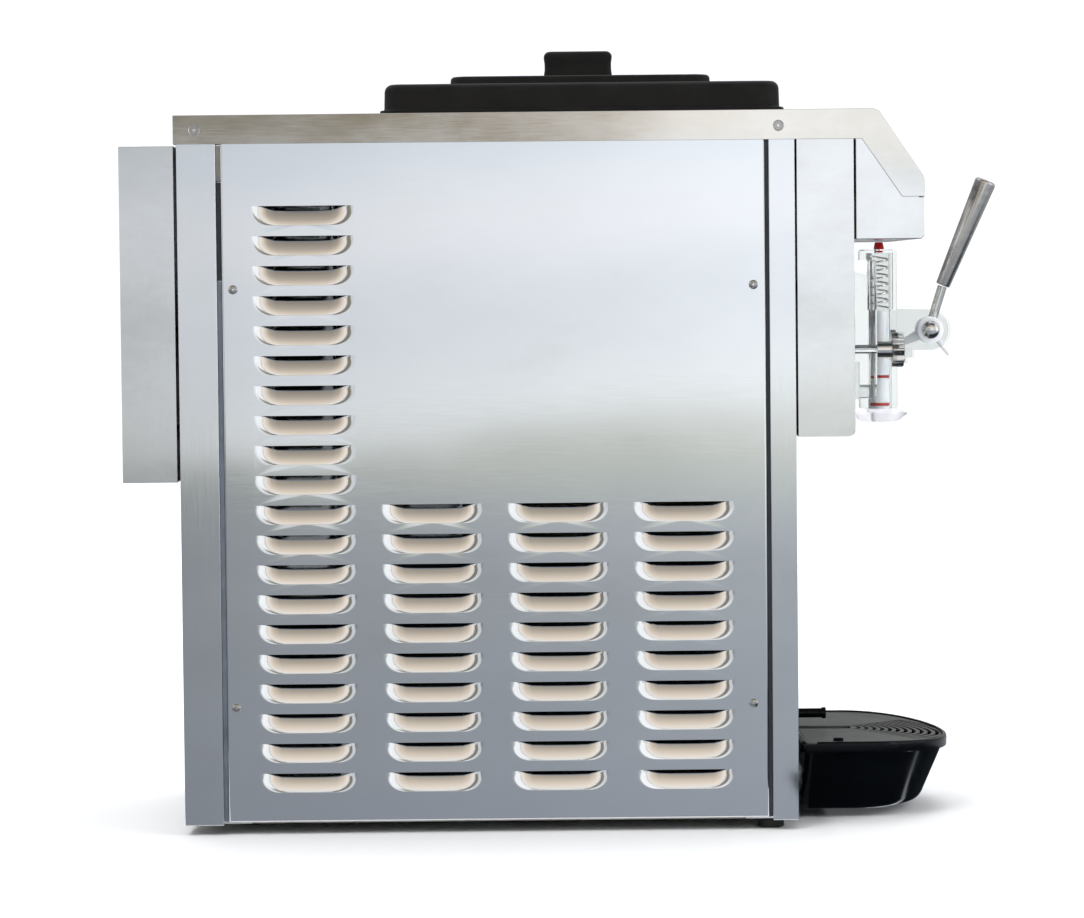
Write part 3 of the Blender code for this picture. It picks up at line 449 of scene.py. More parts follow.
def press_louvre(bm, ring, cx, top, vert):
    """Fill one hole of the sheet with its louvre, down to the open slit along the top edge."""
    rows = len(LOUVRE_DROPS)
    columns = len(LOUVRE_SHARES)
    grid = louvre_grid(cx, top)
    for r in range(rows):
        for c in range(columns):
            if c == 0:
                grid[r][c] = ring[r]
            elif c == columns - 1:
                grid[r][c] = ring[len(ring) - 1 - r]
            elif r == rows - 1:
                grid[r][c] = ring[rows + c - 1]
            else:
                grid[r][c] = vert(*grid[r][c])
    for r in range(rows - 1):
        for c in range(columns - 1):
            bm.faces.new((grid[r][c], grid[r][c + 1], grid[r + 1][c + 1], grid[r + 1][c]))


def louvred_panel(side, node):
    """Fine side panel: pan-folded sheet with the louvres pressed into it."""
    low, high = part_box(node)
    x0 = low[0] / MM - REAR_FACE
    x1 = high[0] / MM - REAR_FACE
    z0, z1 = low[2] / MM, high[2] / MM
    flange = (high[1] - low[1]) / MM
    bend = PANEL_BEND
    flat = [(x0 + bend, z0 + bend), (x1 - bend, z0 + bend), (x1 - bend, z1 - bend), (x0 + bend, z1 - bend)]
    flat = [Vector(p) for p in flat]
    edges = [(0, 1), (1, 2), (2, 3), (3, 0)]
    holes = []
    for c, cx in enumerate(LOUVRE_COLUMNS):
        for row in range(0 if c == 0 else LOUVRE_SHORT_FROM, LOUVRE_ROWS):
            top = LOUVRE_FIRST - LOUVRE_PITCH * row
            start = len(flat)
            grid = louvre_grid(cx, top)
            ring = [row[0] for row in grid] + grid[-1][1:-1] + [row[-1] for row in grid[::-1]]
            flat += [Vector((x, z)) for x, z, _ in ring]
            edges += [(start + i, start + (i + 1) % len(ring)) for i in range(len(ring))]
            holes.append((cx, top, start, len(ring)))
    points, _, faces, _, _, _ = delaunay_2d_cdt(flat, edges, [], 1, 0.0001)

    def pressed(p):
        for cx, top, _, _ in holes:
            drop = top - p.y
            if 0.0 < drop < LOUVRE_HEIGHT and abs(p.x - cx) < louvre_half_width(drop):
                return True
        return False

    bm = bmesh.new()

    def vert(x, z, depth):
        return bm.verts.new(at(x, side * (SIDE_FACE - depth), z))

    made = [vert(p.x, p.y, 0.0) for p in points]
    for face in faces:
        middle = sum((points[i] for i in face), Vector((0.0, 0.0))) / len(face)
        if not pressed(middle):
            bm.faces.new([made[i] for i in face])
    for cx, top, start, count in holes:
        press_louvre(bm, made[start:start + count], cx, top, vert)
    ring = made[:4]
    for k in range(1, 6):
        if k < 5:
            a = radians(90.0 * k / 4)
            out, depth = bend * (1.0 - sin(a)), bend * (1.0 - cos(a))
        else:
            out, depth = 0.0, flange
        corner = [(x0 + out, z0 + out), (x1 - out, z0 + out), (x1 - out, z1 - out), (x0 + out, z1 - out)]
        inner = [vert(x, z, depth) for x, z in corner]
        for i in range(4):
            j = (i + 1) % 4
            bm.faces.new((ring[i], ring[j], inner[j], inner[i]))
        ring = inner
    bmesh.ops.recalc_face_normals(bm, faces=bm.faces)
    out = max(bm.faces, key=lambda f: abs(f.normal.y) * f.calc_area())
    if out.normal.y * side < 0:
        bmesh.ops.reverse_faces(bm, faces=bm.faces)
    mesh = bpy.data.meshes.new("panel")
    bm.to_mesh(mesh)
    bm.free()
    shape = bpy.data.objects.new("panel", mesh)
    bpy.context.collection.objects.link(shape)
    wall = shape.modifiers.new("sheet", "SOLIDIFY")
    wall.thickness = PANEL_SHEET * MM
    wall.offset = -1.0
    wall.use_even_offset = True
    return applied(shape)


CROSS_HALF_WIDTH = 0.45


def cross_recess(head, centre, along, across, *ends):
    """Cut a cross recess into a screw; each end of its taper is (height, half the slot's length)."""
    turned = along.cross(across)
    for p, q in ((across, turned), (turned, across)):
        rings = []
        for height, size in ends:
            ring = []
            for i, j in ((-1, -1), (1, -1), (1, 1), (-1, 1)):
                corner = p * size * i + q * CROSS_HALF_WIDTH * j
                ring.append(tuple(Vector(centre) + along * height + corner))
            rings.append(ring)
        cut(head, loft(rings))
    return head


def pan_head_screw(centre, out, turn, radius=4.9):
    """Pan-head screw with a cross recess, standing on a surface that faces out."""
    dome = [(radius, 0.0), (radius, 0.5), (radius - 0.3, 1.2), (radius - 1.1, 1.9)]
    dome += [(radius - 2.4, 2.3), (0.6, 2.5)]
    along = Vector(out).normalized()
    u, v = cross_axes(along)
    across = u * cos(radians(turn)) + v * sin(radians(turn))
    return cross_recess(spin(dome, centre, out, 40), centre, along, across, (1.0, 1.1), (2.9, 2.6))


def countersunk_screw(centre, out, turn):
    """Flat screw sunk in its countersink, with a cross recess."""
    head = spin([(2.4, -2.6), (4.5, -0.5), (4.7, -0.25), (4.5, 0.0)], centre, out, 40)
    across = Vector((cos(radians(turn)), 0, sin(radians(turn))))
    return cross_recess(head, centre, Vector(out).normalized(), across, (-1.3, 1.0), (0.4, 2.5))


PANEL_SCREWS = [((55, 547), 15), ((574, 547), 50), ((53, 128), 70), ((571, 128), 33)]
TRIM_SCREWS = [((18.5, 706), 25), ((600, 705), 62)]
TRIM_LEAN = 0.0135          # share of its half width that the hem leans in by, TRIM_RISE above its foot
TRIM_RISE = 0.2             # metres


def make_trim(looks):
    """Top cover with its hem leaning in a little at the top, and its countersunk screws."""
    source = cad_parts["top_cover"]
    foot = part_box("top_cover")[0][2]
    mesh = source.data.copy()
    mesh.transform(source.matrix_world)
    trim = bpy.data.objects.new("trim", mesh)
    bpy.context.collection.objects.link(trim)
    for point in mesh.vertices:
        if abs(point.co.y) > 0.198:
            point.co.y *= 1.0 - TRIM_LEAN * (point.co.z - foot) / TRIM_RISE
    heads = []
    for side in (-1, 1):
        for (x, z), turn in TRIM_SCREWS:
            out = (0, side, 0)
            cone = spin([(2.9, -3.2), (2.9, -2.5), (5.3, 0.1), (5.3, 1.0)], (x, side * 199.0, z), out, 40)
            cut(trim, cone)
            heads.append(countersunk_screw((x, side * 198.9, z), out, turn))
    bevelled(trim, 0.5, 2, 40.0)
    piece(trim, "pressed_top_cover", looks["trim"], "cabinet", "trim steel", "top_cover", smooth=30.0)
    piece(gather(heads), "trim_screws", looks["screw"], "cabinet", "satin steel")


def make_cabinet(looks):
    for side, hand in ((-1, "right"), (1, "left")):
        node = "side_panel_" + hand
        panel = piece(louvred_panel(side, node), "louvred_panel_" + hand, looks["panel"], "cabinet",
                      "brushed steel", node, smooth=50.0)
        even = panel.modifiers.new("even", "WEIGHTED_NORMAL")
        even.keep_sharp = True
        even.weight = 100
        heads = []
        for (x, z), turn in PANEL_SCREWS:
            heads.append(pan_head_screw((x, side * (SIDE_FACE - 1.1), z), (0, side, 0), turn))
        piece(gather(heads), "panel_screws_" + hand, looks["screw"], "cabinet", "satin steel")
    dress = {
        "post": ("rear_post_left", "rear_post_right", "front_post_left", "front_post_right"),
        "box": ("front_housing", "rear_drive_cover", "control_hood"),
        "back": ("rear_panel", "front_panel"),
        "zinc": ("base_pan", "tray_bracket", "driven_pulley", "motor_pulley", "fan_blade"),
        "tub": ("hopper", "freezing_cylinder", "drive_shaft"),
        "foam": ("cylinder_insulation",),
        "paint": ("compressor", "drive_motor", "fan_motor"),
        "fins": ("condenser",),
        "fascia": ("power_inlet",),
        "white": ("air_tube", "beater"),
        "rubber": ("drive_belt",),
    }
    for look, names in dress.items():
        for name in names:
            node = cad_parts[name]
            node.data.materials.clear()
            node.data.materials.append(looks[look])
    for name in dress["post"] + dress["box"]:
        bevelled(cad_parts[name], 0.7)
    make_trim(looks)
    for name in ("front_panel", "rear_panel", "base_pan"):
        bevelled(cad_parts[name], 0.3, 2)
    # Painted shade: dark strips fill the gaps between the posts and the side panels, where there is only
    # shade. Near-black ones sit at the top of the rear gap and down the front gap, and a dark blue-grey one
    # sits lower in the rear gap.
    for side, hand in ((-1, "right"), (1, "left")):
        shade_boxes = [box(39.2, 43.8, *sorted((side * 190.0, side * 196.6)), 556.0, 654.0)]
        shade_boxes.append(box(586.2, 589.8, *sorted((side * 190.0, side * 197.4)), 14.0, 691.0))
        piece(gather(shade_boxes), "black_gap_shade_strips_" + hand, looks["seam"], "cabinet", "black rubber")
        filler = box(39.2, 43.8, *sorted((side * 190.0, side * 197.2)), 14.0, 555.6)
        piece(filler, "gap_filler_" + hand, looks["filler"], "cabinet", "galvanised steel")
        strap = box(38.8, 44.6, side * 196.2, side * 190.0, 655.0, 690.0)
        piece(bevelled(strap, 0.5), "gap_bracket_" + hand, looks["zinc"], "cabinet", "galvanised steel")
    for name, fx, fy in (("front_foot_right", 589.0, -168.0), ("front_foot_left", 589.0, 168.0),
                         ("rear_foot_right", 60.0, -104.0), ("rear_foot_left", 60.0, 104.0)):
        profile = [(8.0, 1.2), (9.0, 0.0), (12.0, 0.0), (12.9, 0.4), (13.2, 1.2), (13.2, 7.2), (12.9, 8.2)]
        profile += [(12.2, 9.0), (11.2, 9.7), (4.0, 9.7)]
        piece(spin(profile, (fx, fy, 0.0), (0, 0, 1)), name + "_rubber", looks["rubber"], "cabinet",
              "black rubber", name)


# ---------------------------------------------------------------- lid

LID = (200.5, 610.5, 140.0)              # rear, front and half width
LID_STEP = (271.5, 537.5, 98.0)
LID_GRIP = (367.5, 438.5, 17.0)
LID_FOOT = 721.3
LID_TOP = 753.0
LID_STEP_TOP = 762.0


def shrunk(size, inset, radius, z):
    """Rounded outline of (rear, front, half width), drawn in by inset at height z."""
    rear, front, half = size
    return level(rounded(rear + inset, front - inset, inset - half, half - inset, radius), z)


def make_lid(looks):
    z0 = LID_FOOT
    top = LID_TOP

    def ring(inset, z):
        return shrunk(LID, inset, max(23.0 - inset, 6.0), z)

    def step(inset, z):
        return shrunk(LID_STEP, inset, 20.0 - inset, z)

    rings = [ring(12, top - 5), ring(9.6, top - 7), ring(9, z0 + 1), ring(8.2, z0), ring(0.5, z0)]
    rings += [ring(0, z0 + 0.5), ring(0, z0 + 4.0), ring(0.4, z0 + 4.9), ring(1.4, z0 + 5.4)]
    rings += [ring(3.4, z0 + 5.6), ring(4.2, z0 + 6.2), ring(4.5, z0 + 7.2)]
    for k in range(7):
        a = radians(90.0 * k / 6)
        rings.append(ring(4.9 + 8.0 * (1 - cos(a)), top - 8.0 + 8.0 * sin(a)))
    rings += [step(-1.2, top + 0.02), step(-0.3, top + 0.3), step(0, top + 1.0)]
    for k in range(6):
        a = radians(90.0 * k / 5)
        rings.append(step(0.3 + 4.0 * (1 - cos(a)), LID_STEP_TOP - 4.0 + 4.0 * sin(a)))
    piece(loft(rings), "moulded_lid", looks["lid"], "lid", "satin black plastic", "hopper_lid", smooth=50.0)

    def grip(inset, z, waist=0.0):
        return shrunk(LID_GRIP, inset + waist, 8.0 - inset * 0.9, z)

    rings = [grip(0.6, 762.3), grip(0, 763.0), grip(0, 766.0)]
    rings += [grip(0, 772.0, 0.8), grip(0, 779.0, 0.8), grip(0, 784.5)]
    for k in range(1, 7):
        a = radians(90.0 * k / 6)
        rings.append(grip(6.0 * (1 - cos(a)), 785.0 + 6.0 * sin(a)))
    piece(loft(rings), "lid_grip", looks["lid"], "lid", "satin black plastic", "lid_handle", smooth=50.0)


# ---------------------------------------------------------------- dispensing head

AXIS_Z = 499.0
PLUNGER_X = 716.0
PLUNGER_RADIUS = 11.5
SPRING_RADIUS = 12.2
SPRING_FOOT = 520.4
SPRING_TOP = 576.2
PIVOT_X = 768.0
PIVOT_Z = 497.5
EAR_RADIUS = 21.0
NUT_Y = 52.0
NUT_Z = 478.0
HEAD_TOWER = (695.0, 733.5, 19.0)        # rear, front and half width


def make_clear_head(looks):
    plate = prism(rounded(-70.0, 70.0, 427.0, 571.0, 22.0), "x", 679.0, 707.7)
    x = PLUNGER_X
    tower = []
    for inset, z in ((0.8, 416.0), (0.0, 416.8), (0.0, 578.6), (0.5, 580.6), (1.8, 581.7), (3.4, 582.0)):
        tower.append(shrunk(HEAD_TOWER, inset, 7.0 - inset, z))
    join(plate, loft(tower))
    ear = [(700.0, 476.5), (PIVOT_X, PIVOT_Z - EAR_RADIUS)]
    ear += arc(PIVOT_X, PIVOT_Z, EAR_RADIUS, -86.0, 86.0, 32)
    ear += [(PIVOT_X - 6.0, 519.0), (700.0, 520.5)]
    tab = [(728.0, 463.0), (744.0, 463.0), (744.0, 468.5), (751.0, 468.5), (751.0, 478.0), (728.0, 478.0)]
    for side in (-1, 1):
        join(plate, prism(ear, "y", *sorted((side * 9.0, side * 15.0))))
        join(plate, prism(tab, "y", *sorted((side * 9.0, side * 14.0))))
    cut(plate, rod(SPRING_RADIUS + 1.2, (x, 0, 519.0), (x, 0, 577.8), 64))
    cut(plate, rod(PLUNGER_RADIUS + 0.6, (x, 0, 400.0), (x, 0, 520.0), 64))
    cut(plate, rod(5.0, (x, 0, 570.0), (x, 0, 590.0), 32))
    cut(plate, box(x, 760.0, -6.0, 6.0, 464.0, 518.0))
    cut(plate, rod(45.0, (670.0, 0, AXIS_Z), (687.0, 0, AXIS_Z), 64))
    cut(plate, box(683.0, 694.0, -8.0, 8.0, 430.0, 465.0))
    cut(plate, rod(7.0, (690.0, 0, 437.0), (x, 0, 437.0), 32))
    cut(plate, rod(5.4, (PIVOT_X, -30.0, PIVOT_Z), (PIVOT_X, 30.0, PIVOT_Z), 32))
    bevelled(plate, 0.6, 2, 40.0)
    head = piece(plate, "clear_head", looks["clear"], "cabinet", "clear plastic", "dispensing_head",
                 smooth=35.0)
    head.visible_shadow = False


def make_nozzle(looks):
    x = PLUNGER_X
    cap = [(3.0, 0.0), (4.4, 0.4), (4.4, 3.9), (5.3, 4.0), (5.6, 4.5)]
    cap += [(4.3, 10.2), (3.6, 10.9), (2.0, 11.0)]
    piece(spin(cap, (x, 0, 578.3), (0, 0, 1)), "red_spring_cap", looks["cap"], "cabinet", "red rubber",
          "spring_cap", smooth=40.0)

    def dish(grow, z, tip):
        ring = []
        for k in range(96):
            a = 2 * pi * k / 96
            r = 24.0 + grow + tip * max(0.0, cos(a)) ** 8
            ring.append((x - 1.0 + r * cos(a), r * sin(a), z))
        return ring

    nozzle = loft([dish(-12.0, 402.0, 0.0), dish(-6.0, 402.6, 0.0), dish(-1.6, 404.4, 0.0),
                   dish(-0.3, 407.0, 2.0), dish(0.0, 409.6, 5.6), dish(-0.6, 410.8, 6.0),
                   dish(-2.6, 412.6, 4.0), dish(-4.0, 414.9, 0.0), dish(-4.6, 415.6, 0.0)])
    cut(nozzle, rod(8.0, (x, 0, 395.0), (x, 0, 412.0), 48))
    cut(nozzle, rod(PLUNGER_RADIUS + 0.7, (x, 0, 410.0), (x, 0, 420.0), 64))
    piece(nozzle, "frosted_nozzle", looks["frosted"], "cabinet", "frosted plastic", "nozzle_cap",
          smooth=45.0)


def make_plunger(looks):
    x = PLUNGER_X
    profile = [(9.0, 0.0), (10.6, 0.3), (11.4, 1.2), (11.5, 2.0), (11.5, 4.6), (10.0, 4.8), (10.0, 8.2)]
    profile += [(11.5, 8.4), (11.5, 33.6), (10.0, 33.8), (10.0, 37.2), (11.5, 37.4), (11.5, 103.6)]
    profile += [(11.3, 104.2), (10.8, 104.6)]
    plunger = spin(profile, (x, 0, 413.6), (0, 0, 1))
    cut(plunger, box(x - 20.0, x + 20.0, -5.2, 5.2, 466.0, 483.5))
    piece(plunger, "white_plunger", looks["white"], "valve", "white plastic", "valve_plunger")
    for name, z in (("lower_o_ring", 420.1), ("upper_o_ring", 449.1)):
        section = [(11.05 + 0.85 * cos(radians(a)), 1.25 * sin(radians(a))) for a in range(0, 360, 30)]
        piece(spin(section, (x, 0, z), (0, 0, 1), 64, True), name + "_red", looks["seal"], "valve",
              "red rubber", name, smooth=60.0)


def make_spring(looks):
    x = PLUNGER_X
    rings = []
    turns = 6.6
    steps = 40
    total = int(turns * steps)
    for i in range(total + 1):
        a = 2 * pi * i / steps
        z = SPRING_FOOT + (SPRING_TOP - SPRING_FOOT) * i / total
        out = Vector((cos(a), sin(a), 0))
        centre = Vector((x, 0, z)) + out * (SPRING_RADIUS - 1.1)
        ring = []
        for k in range(12):
            b = 2 * pi * k / 12
            ring.append(tuple(centre + out * 1.05 * cos(b) + Vector((0, 0, 1.05 * sin(b)))))
        rings.append(ring)
    spring = piece(loft(rings), "coil_spring", looks["polished"], "cabinet", "satin steel", "valve_spring",
                   smooth=60.0)
    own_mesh(spring)


def make_hand_nuts(looks):
    for hand, side in (("right", -1), ("left", 1)):
        name = "hand_nut_" + hand
        base = Vector((708.2, side * NUT_Y, NUT_Z))
        stub = spin([(8.2, 0.0), (9.0, 0.8), (9.0, 16.0)], base, (1, 0, 0))
        rings = []
        profile = [(1.4, 15.8), (0.4, 16.2), (0.0, 17.2), (0.0, 26.4)]
        profile += [(0.5, 27.8), (1.8, 28.6), (4.0, 28.8)]
        for inset, dx in profile:
            ring = []
            for k in range(128):
                a = 2 * pi * k / 128
                r = 16.2 + 1.8 * cos(8 * a) - inset
                ring.append((base.x + dx, base.y + r * cos(a), base.z + r * sin(a)))
            rings.append(ring)
        join(stub, loft(rings))
        cut(stub, rod(4.5, base - Vector((5, 0, 0)), base + Vector((24.0, 0, 0)), 32))
        piece(stub, name + "_steel", looks["polished"], hand + "_hand_nut", "satin steel", name, smooth=35.0)


def make_pivot(looks):
    for name, side in (("pivot_bush_right", -1), ("pivot_bush_left", 1)):
        ring = [(5.6, 0.0), (13.1, 0.0), (13.6, 0.3), (13.7, 0.8), (13.5, 1.6), (12.9, 2.1)]
        ring += [(12.4, 2.2), (5.6, 2.2)]
        shape = spin(ring, (PIVOT_X, side * 15.3, PIVOT_Z), (0, side, 0), 64, True)
        piece(shape, name + "_white", looks["white"], "cabinet", "white plastic", name)
    head = 17.8
    dome = [(9.3, 0.0), (9.7, 0.4), (9.7, 1.6)]
    dome += [(9.7 * cos(radians(a)), 1.6 + 6.7 * sin(radians(a))) for a in range(12, 88, 8)]
    bolt = [(r, -head - h) for r, h in dome[::-1]] + [(5.0, -head), (5.0, head + 2.0)]
    piece(spin(bolt, (PIVOT_X, 0, PIVOT_Z), (0, 1, 0)), "pivot_dome_right", looks["polished"], "cabinet",
          "satin steel", "pivot_bolt", smooth=45.0)
    nut = spin([(r, head + h) for r, h in dome], (PIVOT_X, 0, PIVOT_Z), (0, 1, 0))
    cut(nut, rod(5.3, (PIVOT_X, head - 5.0, PIVOT_Z), (PIVOT_X, head + 2.5, PIVOT_Z)))
    piece(nut, "pivot_dome_left", looks["polished"], "cabinet", "satin steel", "pivot_nut", smooth=45.0)


def make_lever(looks):
    pivot = Vector((PIVOT_X, 0, PIVOT_Z))
    base = Vector((782.6, 0, 543.7))
    top = Vector((828.7, 0, 653.0))
    rise = (base - pivot).normalized()
    reach = (PIVOT_X - PLUNGER_X) / cos(radians(25.0))
    inward = Vector((-cos(radians(25.0)), 0, -sin(radians(25.0))))
    hub = spin([(13.4, -8.4), (14.0, -7.8), (14.0, 7.8), (13.4, 8.4)], pivot, (0, 1, 0))
    up = Vector((inward.z, 0, -inward.x))
    arm = ((8.0, 6.0), (30.0, 3.6), (reach - 2.0, 2.6))
    outline = [pivot + inward * d + up * h for d, h in arm]
    outline += [pivot + inward * d - up * h for d, h in arm[::-1]]
    join(hub, prism([(p.x, p.z) for p in outline], "y", -4.4, 4.4))
    tip = pivot + inward * reach
    join(hub, rod(4.4, tip - Vector((0, 4.6, 0)), tip + Vector((0, 4.6, 0))))
    tail = Vector((sin(radians(40.0)), 0, -cos(radians(40.0))))
    join(hub, spin([(3.0, 10.0), (3.0, 32.6), (2.3, 33.8), (1.2, 34.0)], pivot, tail, 32))
    cut(hub, rod(5.4, pivot - Vector((0, 20, 0)), pivot + Vector((0, 20, 0))))
    cut(hub, rod(5.2, pivot + rise * 9.0, pivot + rise * 30.0))
    piece(hub, "white_hub", looks["white"], "lever", "white plastic", "lever_hub")
    length = (base - pivot).length - 1.0
    piece(spin([(4.5, 9.4), (4.9, 9.8), (4.9, length)], pivot, rise), "polished_rod", looks["polished"],
          "lever", "satin steel", "lever_rod")
    line = top - base
    h = line.length
    grip = [(5.2, 0.0), (6.6, 0.1), (7.2, 0.5), (7.5, 1.4), (11.1, h - 4.0)]
    grip += [(8.1 + 3.0 * cos(radians(a)), h - 3.2 + 3.0 * sin(radians(a))) for a in range(0, 91, 15)]
    grip += [(3.0, h + 0.2)]
    piece(spin(grip, base, line), "tapered_grip", looks["grip"], "lever", "satin steel", "lever_grip",
          smooth=45.0)


# ---------------------------------------------------------------- controls

SLOPE_TOP = Vector((699.0, 721.0))
SLOPE_FOOT = Vector((745.5, 652.0))


def along_slope(distance, height, y):
    run = (SLOPE_FOOT - SLOPE_TOP).normalized()
    out = Vector((-run.y, run.x))
    p = SLOPE_TOP + run * distance + out * height
    return Vector((p.x, y, p.y))


def make_controls(looks):
    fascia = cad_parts["control_fascia"]
    fascia.data.materials.clear()
    fascia.data.materials.append(looks["fascia"])
    bevelled(fascia, 0.3, 2, 40.0)
    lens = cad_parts["display_lens"]
    lens.data.materials.clear()
    lens.data.materials.append(looks["lens"])
    out = along_slope(0.0, 1.0, 0.0) - along_slope(0.0, 0.0, 0.0)
    for name, y in (("wash", -48.0), ("serve", 0.0), ("standby", 48.0)):
        foot = along_slope(53.0, 0.0, y)
        profile = [(9.0, -6.0), (9.0, 0.3), (8.8, 0.7), (8.4, 0.95), (7.2, 1.0), (5.0, 0.75), (1.0, 0.65)]
        piece(spin(profile, foot, out, 48), name + "_key", looks["button"], "button_" + name,
              "button plastic", name + "_button", smooth=50.0)
        light = along_slope(53.0, 0.0, y + 16.0)
        piece(spin([(1.6, 0.1), (1.6, 0.5), (1.1, 0.85), (0.3, 0.95)], light, out, 24), name + "_indicator",
              looks["light"], "cabinet", "display window")


# ---------------------------------------------------------------- drip tray

TRAY_REAR = 622.0
TRAY_SHOULDER = 680.0
TRAY_NOSE = 783.0
TRAY_HALF_WIDTH = 150.0
TRAY_RIM = 82.5
TRAY_DROOP = 7.0
GRILLE_PITCH = 8.2
SPOUT_Y = 0.0
SPOUT_Z = 96.0
SPOUT_REACH = 41.0


def tray_outline(inset, z, droop=0.0, extra=0.0):
    rear = TRAY_REAR + inset
    half = TRAY_HALF_WIDTH - inset - extra
    nose = TRAY_NOSE - inset - extra * 0.75
    corner = 6.0
    plan = [(x, -y) for x, y in arc(rear + corner, half - corner, corner, 180.0, 90.0, 5)]
    for k in range(1, 20):
        plan.append((rear + corner + (TRAY_SHOULDER - rear - corner) * k / 20, -half))
    for k in range(65):
        a = radians(-90.0 + 180.0 * k / 64)
        plan.append((TRAY_SHOULDER + (nose - TRAY_SHOULDER) * cos(a), half * sin(a)))
    for k in range(19, 0, -1):
        plan.append((rear + corner + (TRAY_SHOULDER - rear - corner) * k / 20, half))
    plan += arc(rear + corner, half - corner, corner, 90.0, 180.0, 5)
    ring = []
    for x, y in plan:
        fall = max(0.0, (x - TRAY_SHOULDER) / (TRAY_NOSE - TRAY_SHOULDER)) ** 2
        ring.append((x, y, z - droop * fall))
    return ring


def make_tray(looks):
    rim = TRAY_RIM
    fall = TRAY_DROOP
    rings = [tray_outline(9.0, 8.5, 0, 42), tray_outline(6.0, 8.8, 0, 39.5)]
    rings += [tray_outline(3.6, 10.1, 0, 37.4), tray_outline(2.0, 12.3, 0, 35.6)]
    rings += [tray_outline(1.2, 15.5, 0, 33.6)]
    rings += [tray_outline(5.0, rim - 11.4, fall), tray_outline(1.0, rim - 11.4, fall)]
    rings += [tray_outline(0.3, rim - 10.8, fall), tray_outline(0.0, rim - 3.4, fall)]
    rings += [tray_outline(0.3, rim - 1.6, fall), tray_outline(0.9, rim - 0.5, fall)]
    rings += [tray_outline(1.9, rim, fall), tray_outline(3.4, rim, fall)]
    rings += [tray_outline(4.2, rim - 0.4, fall)]
    rings += [tray_outline(4.6, rim - 4.4, fall), tray_outline(8.0, rim - 4.7, fall)]
    rings += [tray_outline(5.0, 16.5, 0, 34), tray_outline(6.6, 12.9, 0, 36)]
    rings += [tray_outline(9.0, 11.5, 0, 39)]
    tray = loft(rings)
    cut(tray, box(610.0, 638.0, -160.0, -141.0, rim - 2.6, rim + 5.0))
    piece(tray, "moulded_tray", looks["gloss"], "tray", "gloss black plastic", "drip_tray", smooth=40.0)

    ledge = rim - 4.2
    plate = loft([tray_outline(5.6, ledge, fall), tray_outline(5.2, ledge + 0.4, fall),
                  tray_outline(5.2, ledge + 2.1, fall), tray_outline(5.7, ledge + 2.6, fall)])
    slots = [box(600.0, 683.0, SPOUT_Y - 12.5, SPOUT_Y + 12.5, 55.0, 95.0)]
    for k in range(12):
        r = 20.0 + GRILLE_PITCH * k
        ring = arc(672.0, 0.0, r + 2.1, -52.0, 52.0, 36) + arc(672.0, 0.0, r - 2.1, 52.0, -52.0, 36)
        slots.append(prism(ring, "z", 55.0, 95.0))
    slots.append(prism(rounded(655.0, 667.0, -128.0, -121.0, 3.4, 6), "z", 55.0, 95.0))
    cut(plate, *slots)
    bevelled(plate, 1.1, 3, 50.0)
    stud = [(5.2, -1.4), (5.2, 2.6), (4.6, 3.2), (3.0, 3.5)]
    stud = spin(stud, (661.0, -124.5, rim - 1.6), (0, 0, 1), 40)
    piece(stud, "grille_stud", looks["gloss"], "grille", "dark grey plastic")
    piece(plate, "slotted_grille", looks["grille"], "grille", "dark grey plastic", "drip_grille",
          smooth=40.0)

    tip = SPOUT_REACH
    spout = [(3.6, -6.0), (4.9, 0.4), (4.9, tip - 4.8), (5.1, tip - 4.4), (5.7, tip - 4.2)]
    spout += [(5.9, tip - 3.7), (5.9, tip - 0.6), (5.6, tip), (3.2, tip), (2.8, tip - 0.6), (2.8, -6.0)]
    spout = spin(spout, (616.0, SPOUT_Y, SPOUT_Z), (1, 0, 0), 48, True)
    piece(spout, "black_spout", looks["gloss"], "cabinet", "gloss black plastic", "drip_spout", smooth=40.0)


# ---------------------------------------------------------------- studio

def plain(name, colour, roughness):
    look = Look(name, Roughness=roughness)
    soft = look.noise(1.6, 3.0)
    look.colours(soft, (0.2, tuple(c * 0.985 for c in colour)), (0.8, colour))
    return look.material


CARD_REACH = 6.0


def glow(name, axis, low, high, side_low, side_high, *stops, slope=0.0, cloud=0.0):
    """Studio card whose brightness follows its height or depth, and falls off to the machine's rear."""
    look = Look(name, Roughness=1.0)
    look.shader.inputs["Base Color"].default_value = (0.0, 0.0, 0.0, 1.0)
    look.shader.inputs["Specular IOR Level"].default_value = 0.0
    split = look.tree.nodes.new("ShaderNodeSeparateXYZ")
    look.tree.links.new(look.coords, split.inputs[0])
    ramp = look.tree.nodes.new("ShaderNodeValToRGB")
    points = ramp.color_ramp.elements
    while len(points) < len(stops):
        points.new(0.5)
    for point, (place, colour) in zip(points, stops):
        point.position = (place - low) / (high - low)
        point.color = (*colour, 1.0)
    place = look.spread(split.outputs[axis], 0.0, 1.0, low, high)
    if slope:
        lift = CARD_REACH * slope / (high - low)
        tilt = look.spread(split.outputs["X"], lift, -lift, -CARD_REACH, CARD_REACH)
        place = look.combine(place, tilt)
    if cloud:
        drift = look.noise(0.9, 4.0, (0.5, 1.0, 1.6), 0.55)
        place = look.combine(place, look.spread(drift, -cloud, cloud, 0.25, 0.75))
    look.tree.links.new(place, ramp.inputs["Fac"])
    look.tree.links.new(ramp.outputs["Color"], look.shader.inputs["Emission Color"])
    fall = look.spread(split.outputs["X"], side_low, side_high, -1.2, 0.9)
    look.tree.links.new(fall, look.shader.inputs["Emission Strength"])
    return look.material


def card(name, corners, look):
    """A card that only reflections see."""
    mesh = bpy.data.meshes.new(name)
    mesh.from_pydata(corners, [], [tuple(range(len(corners)))])
    mesh.materials.append(look)
    shape = bpy.data.objects.new(name, mesh)
    bpy.context.collection.objects.link(shape)
    shape.visible_camera = False
    shape.visible_diffuse = False
    shape.visible_transmission = False
    shape.visible_shadow = False


def flat_card(name, x0, x1, y0, y1, z, look):
    """A card that lies just above the floor."""
    card(name, [(x0, y0, z), (x1, y0, z), (x1, y1, z), (x0, y1, z)], look)


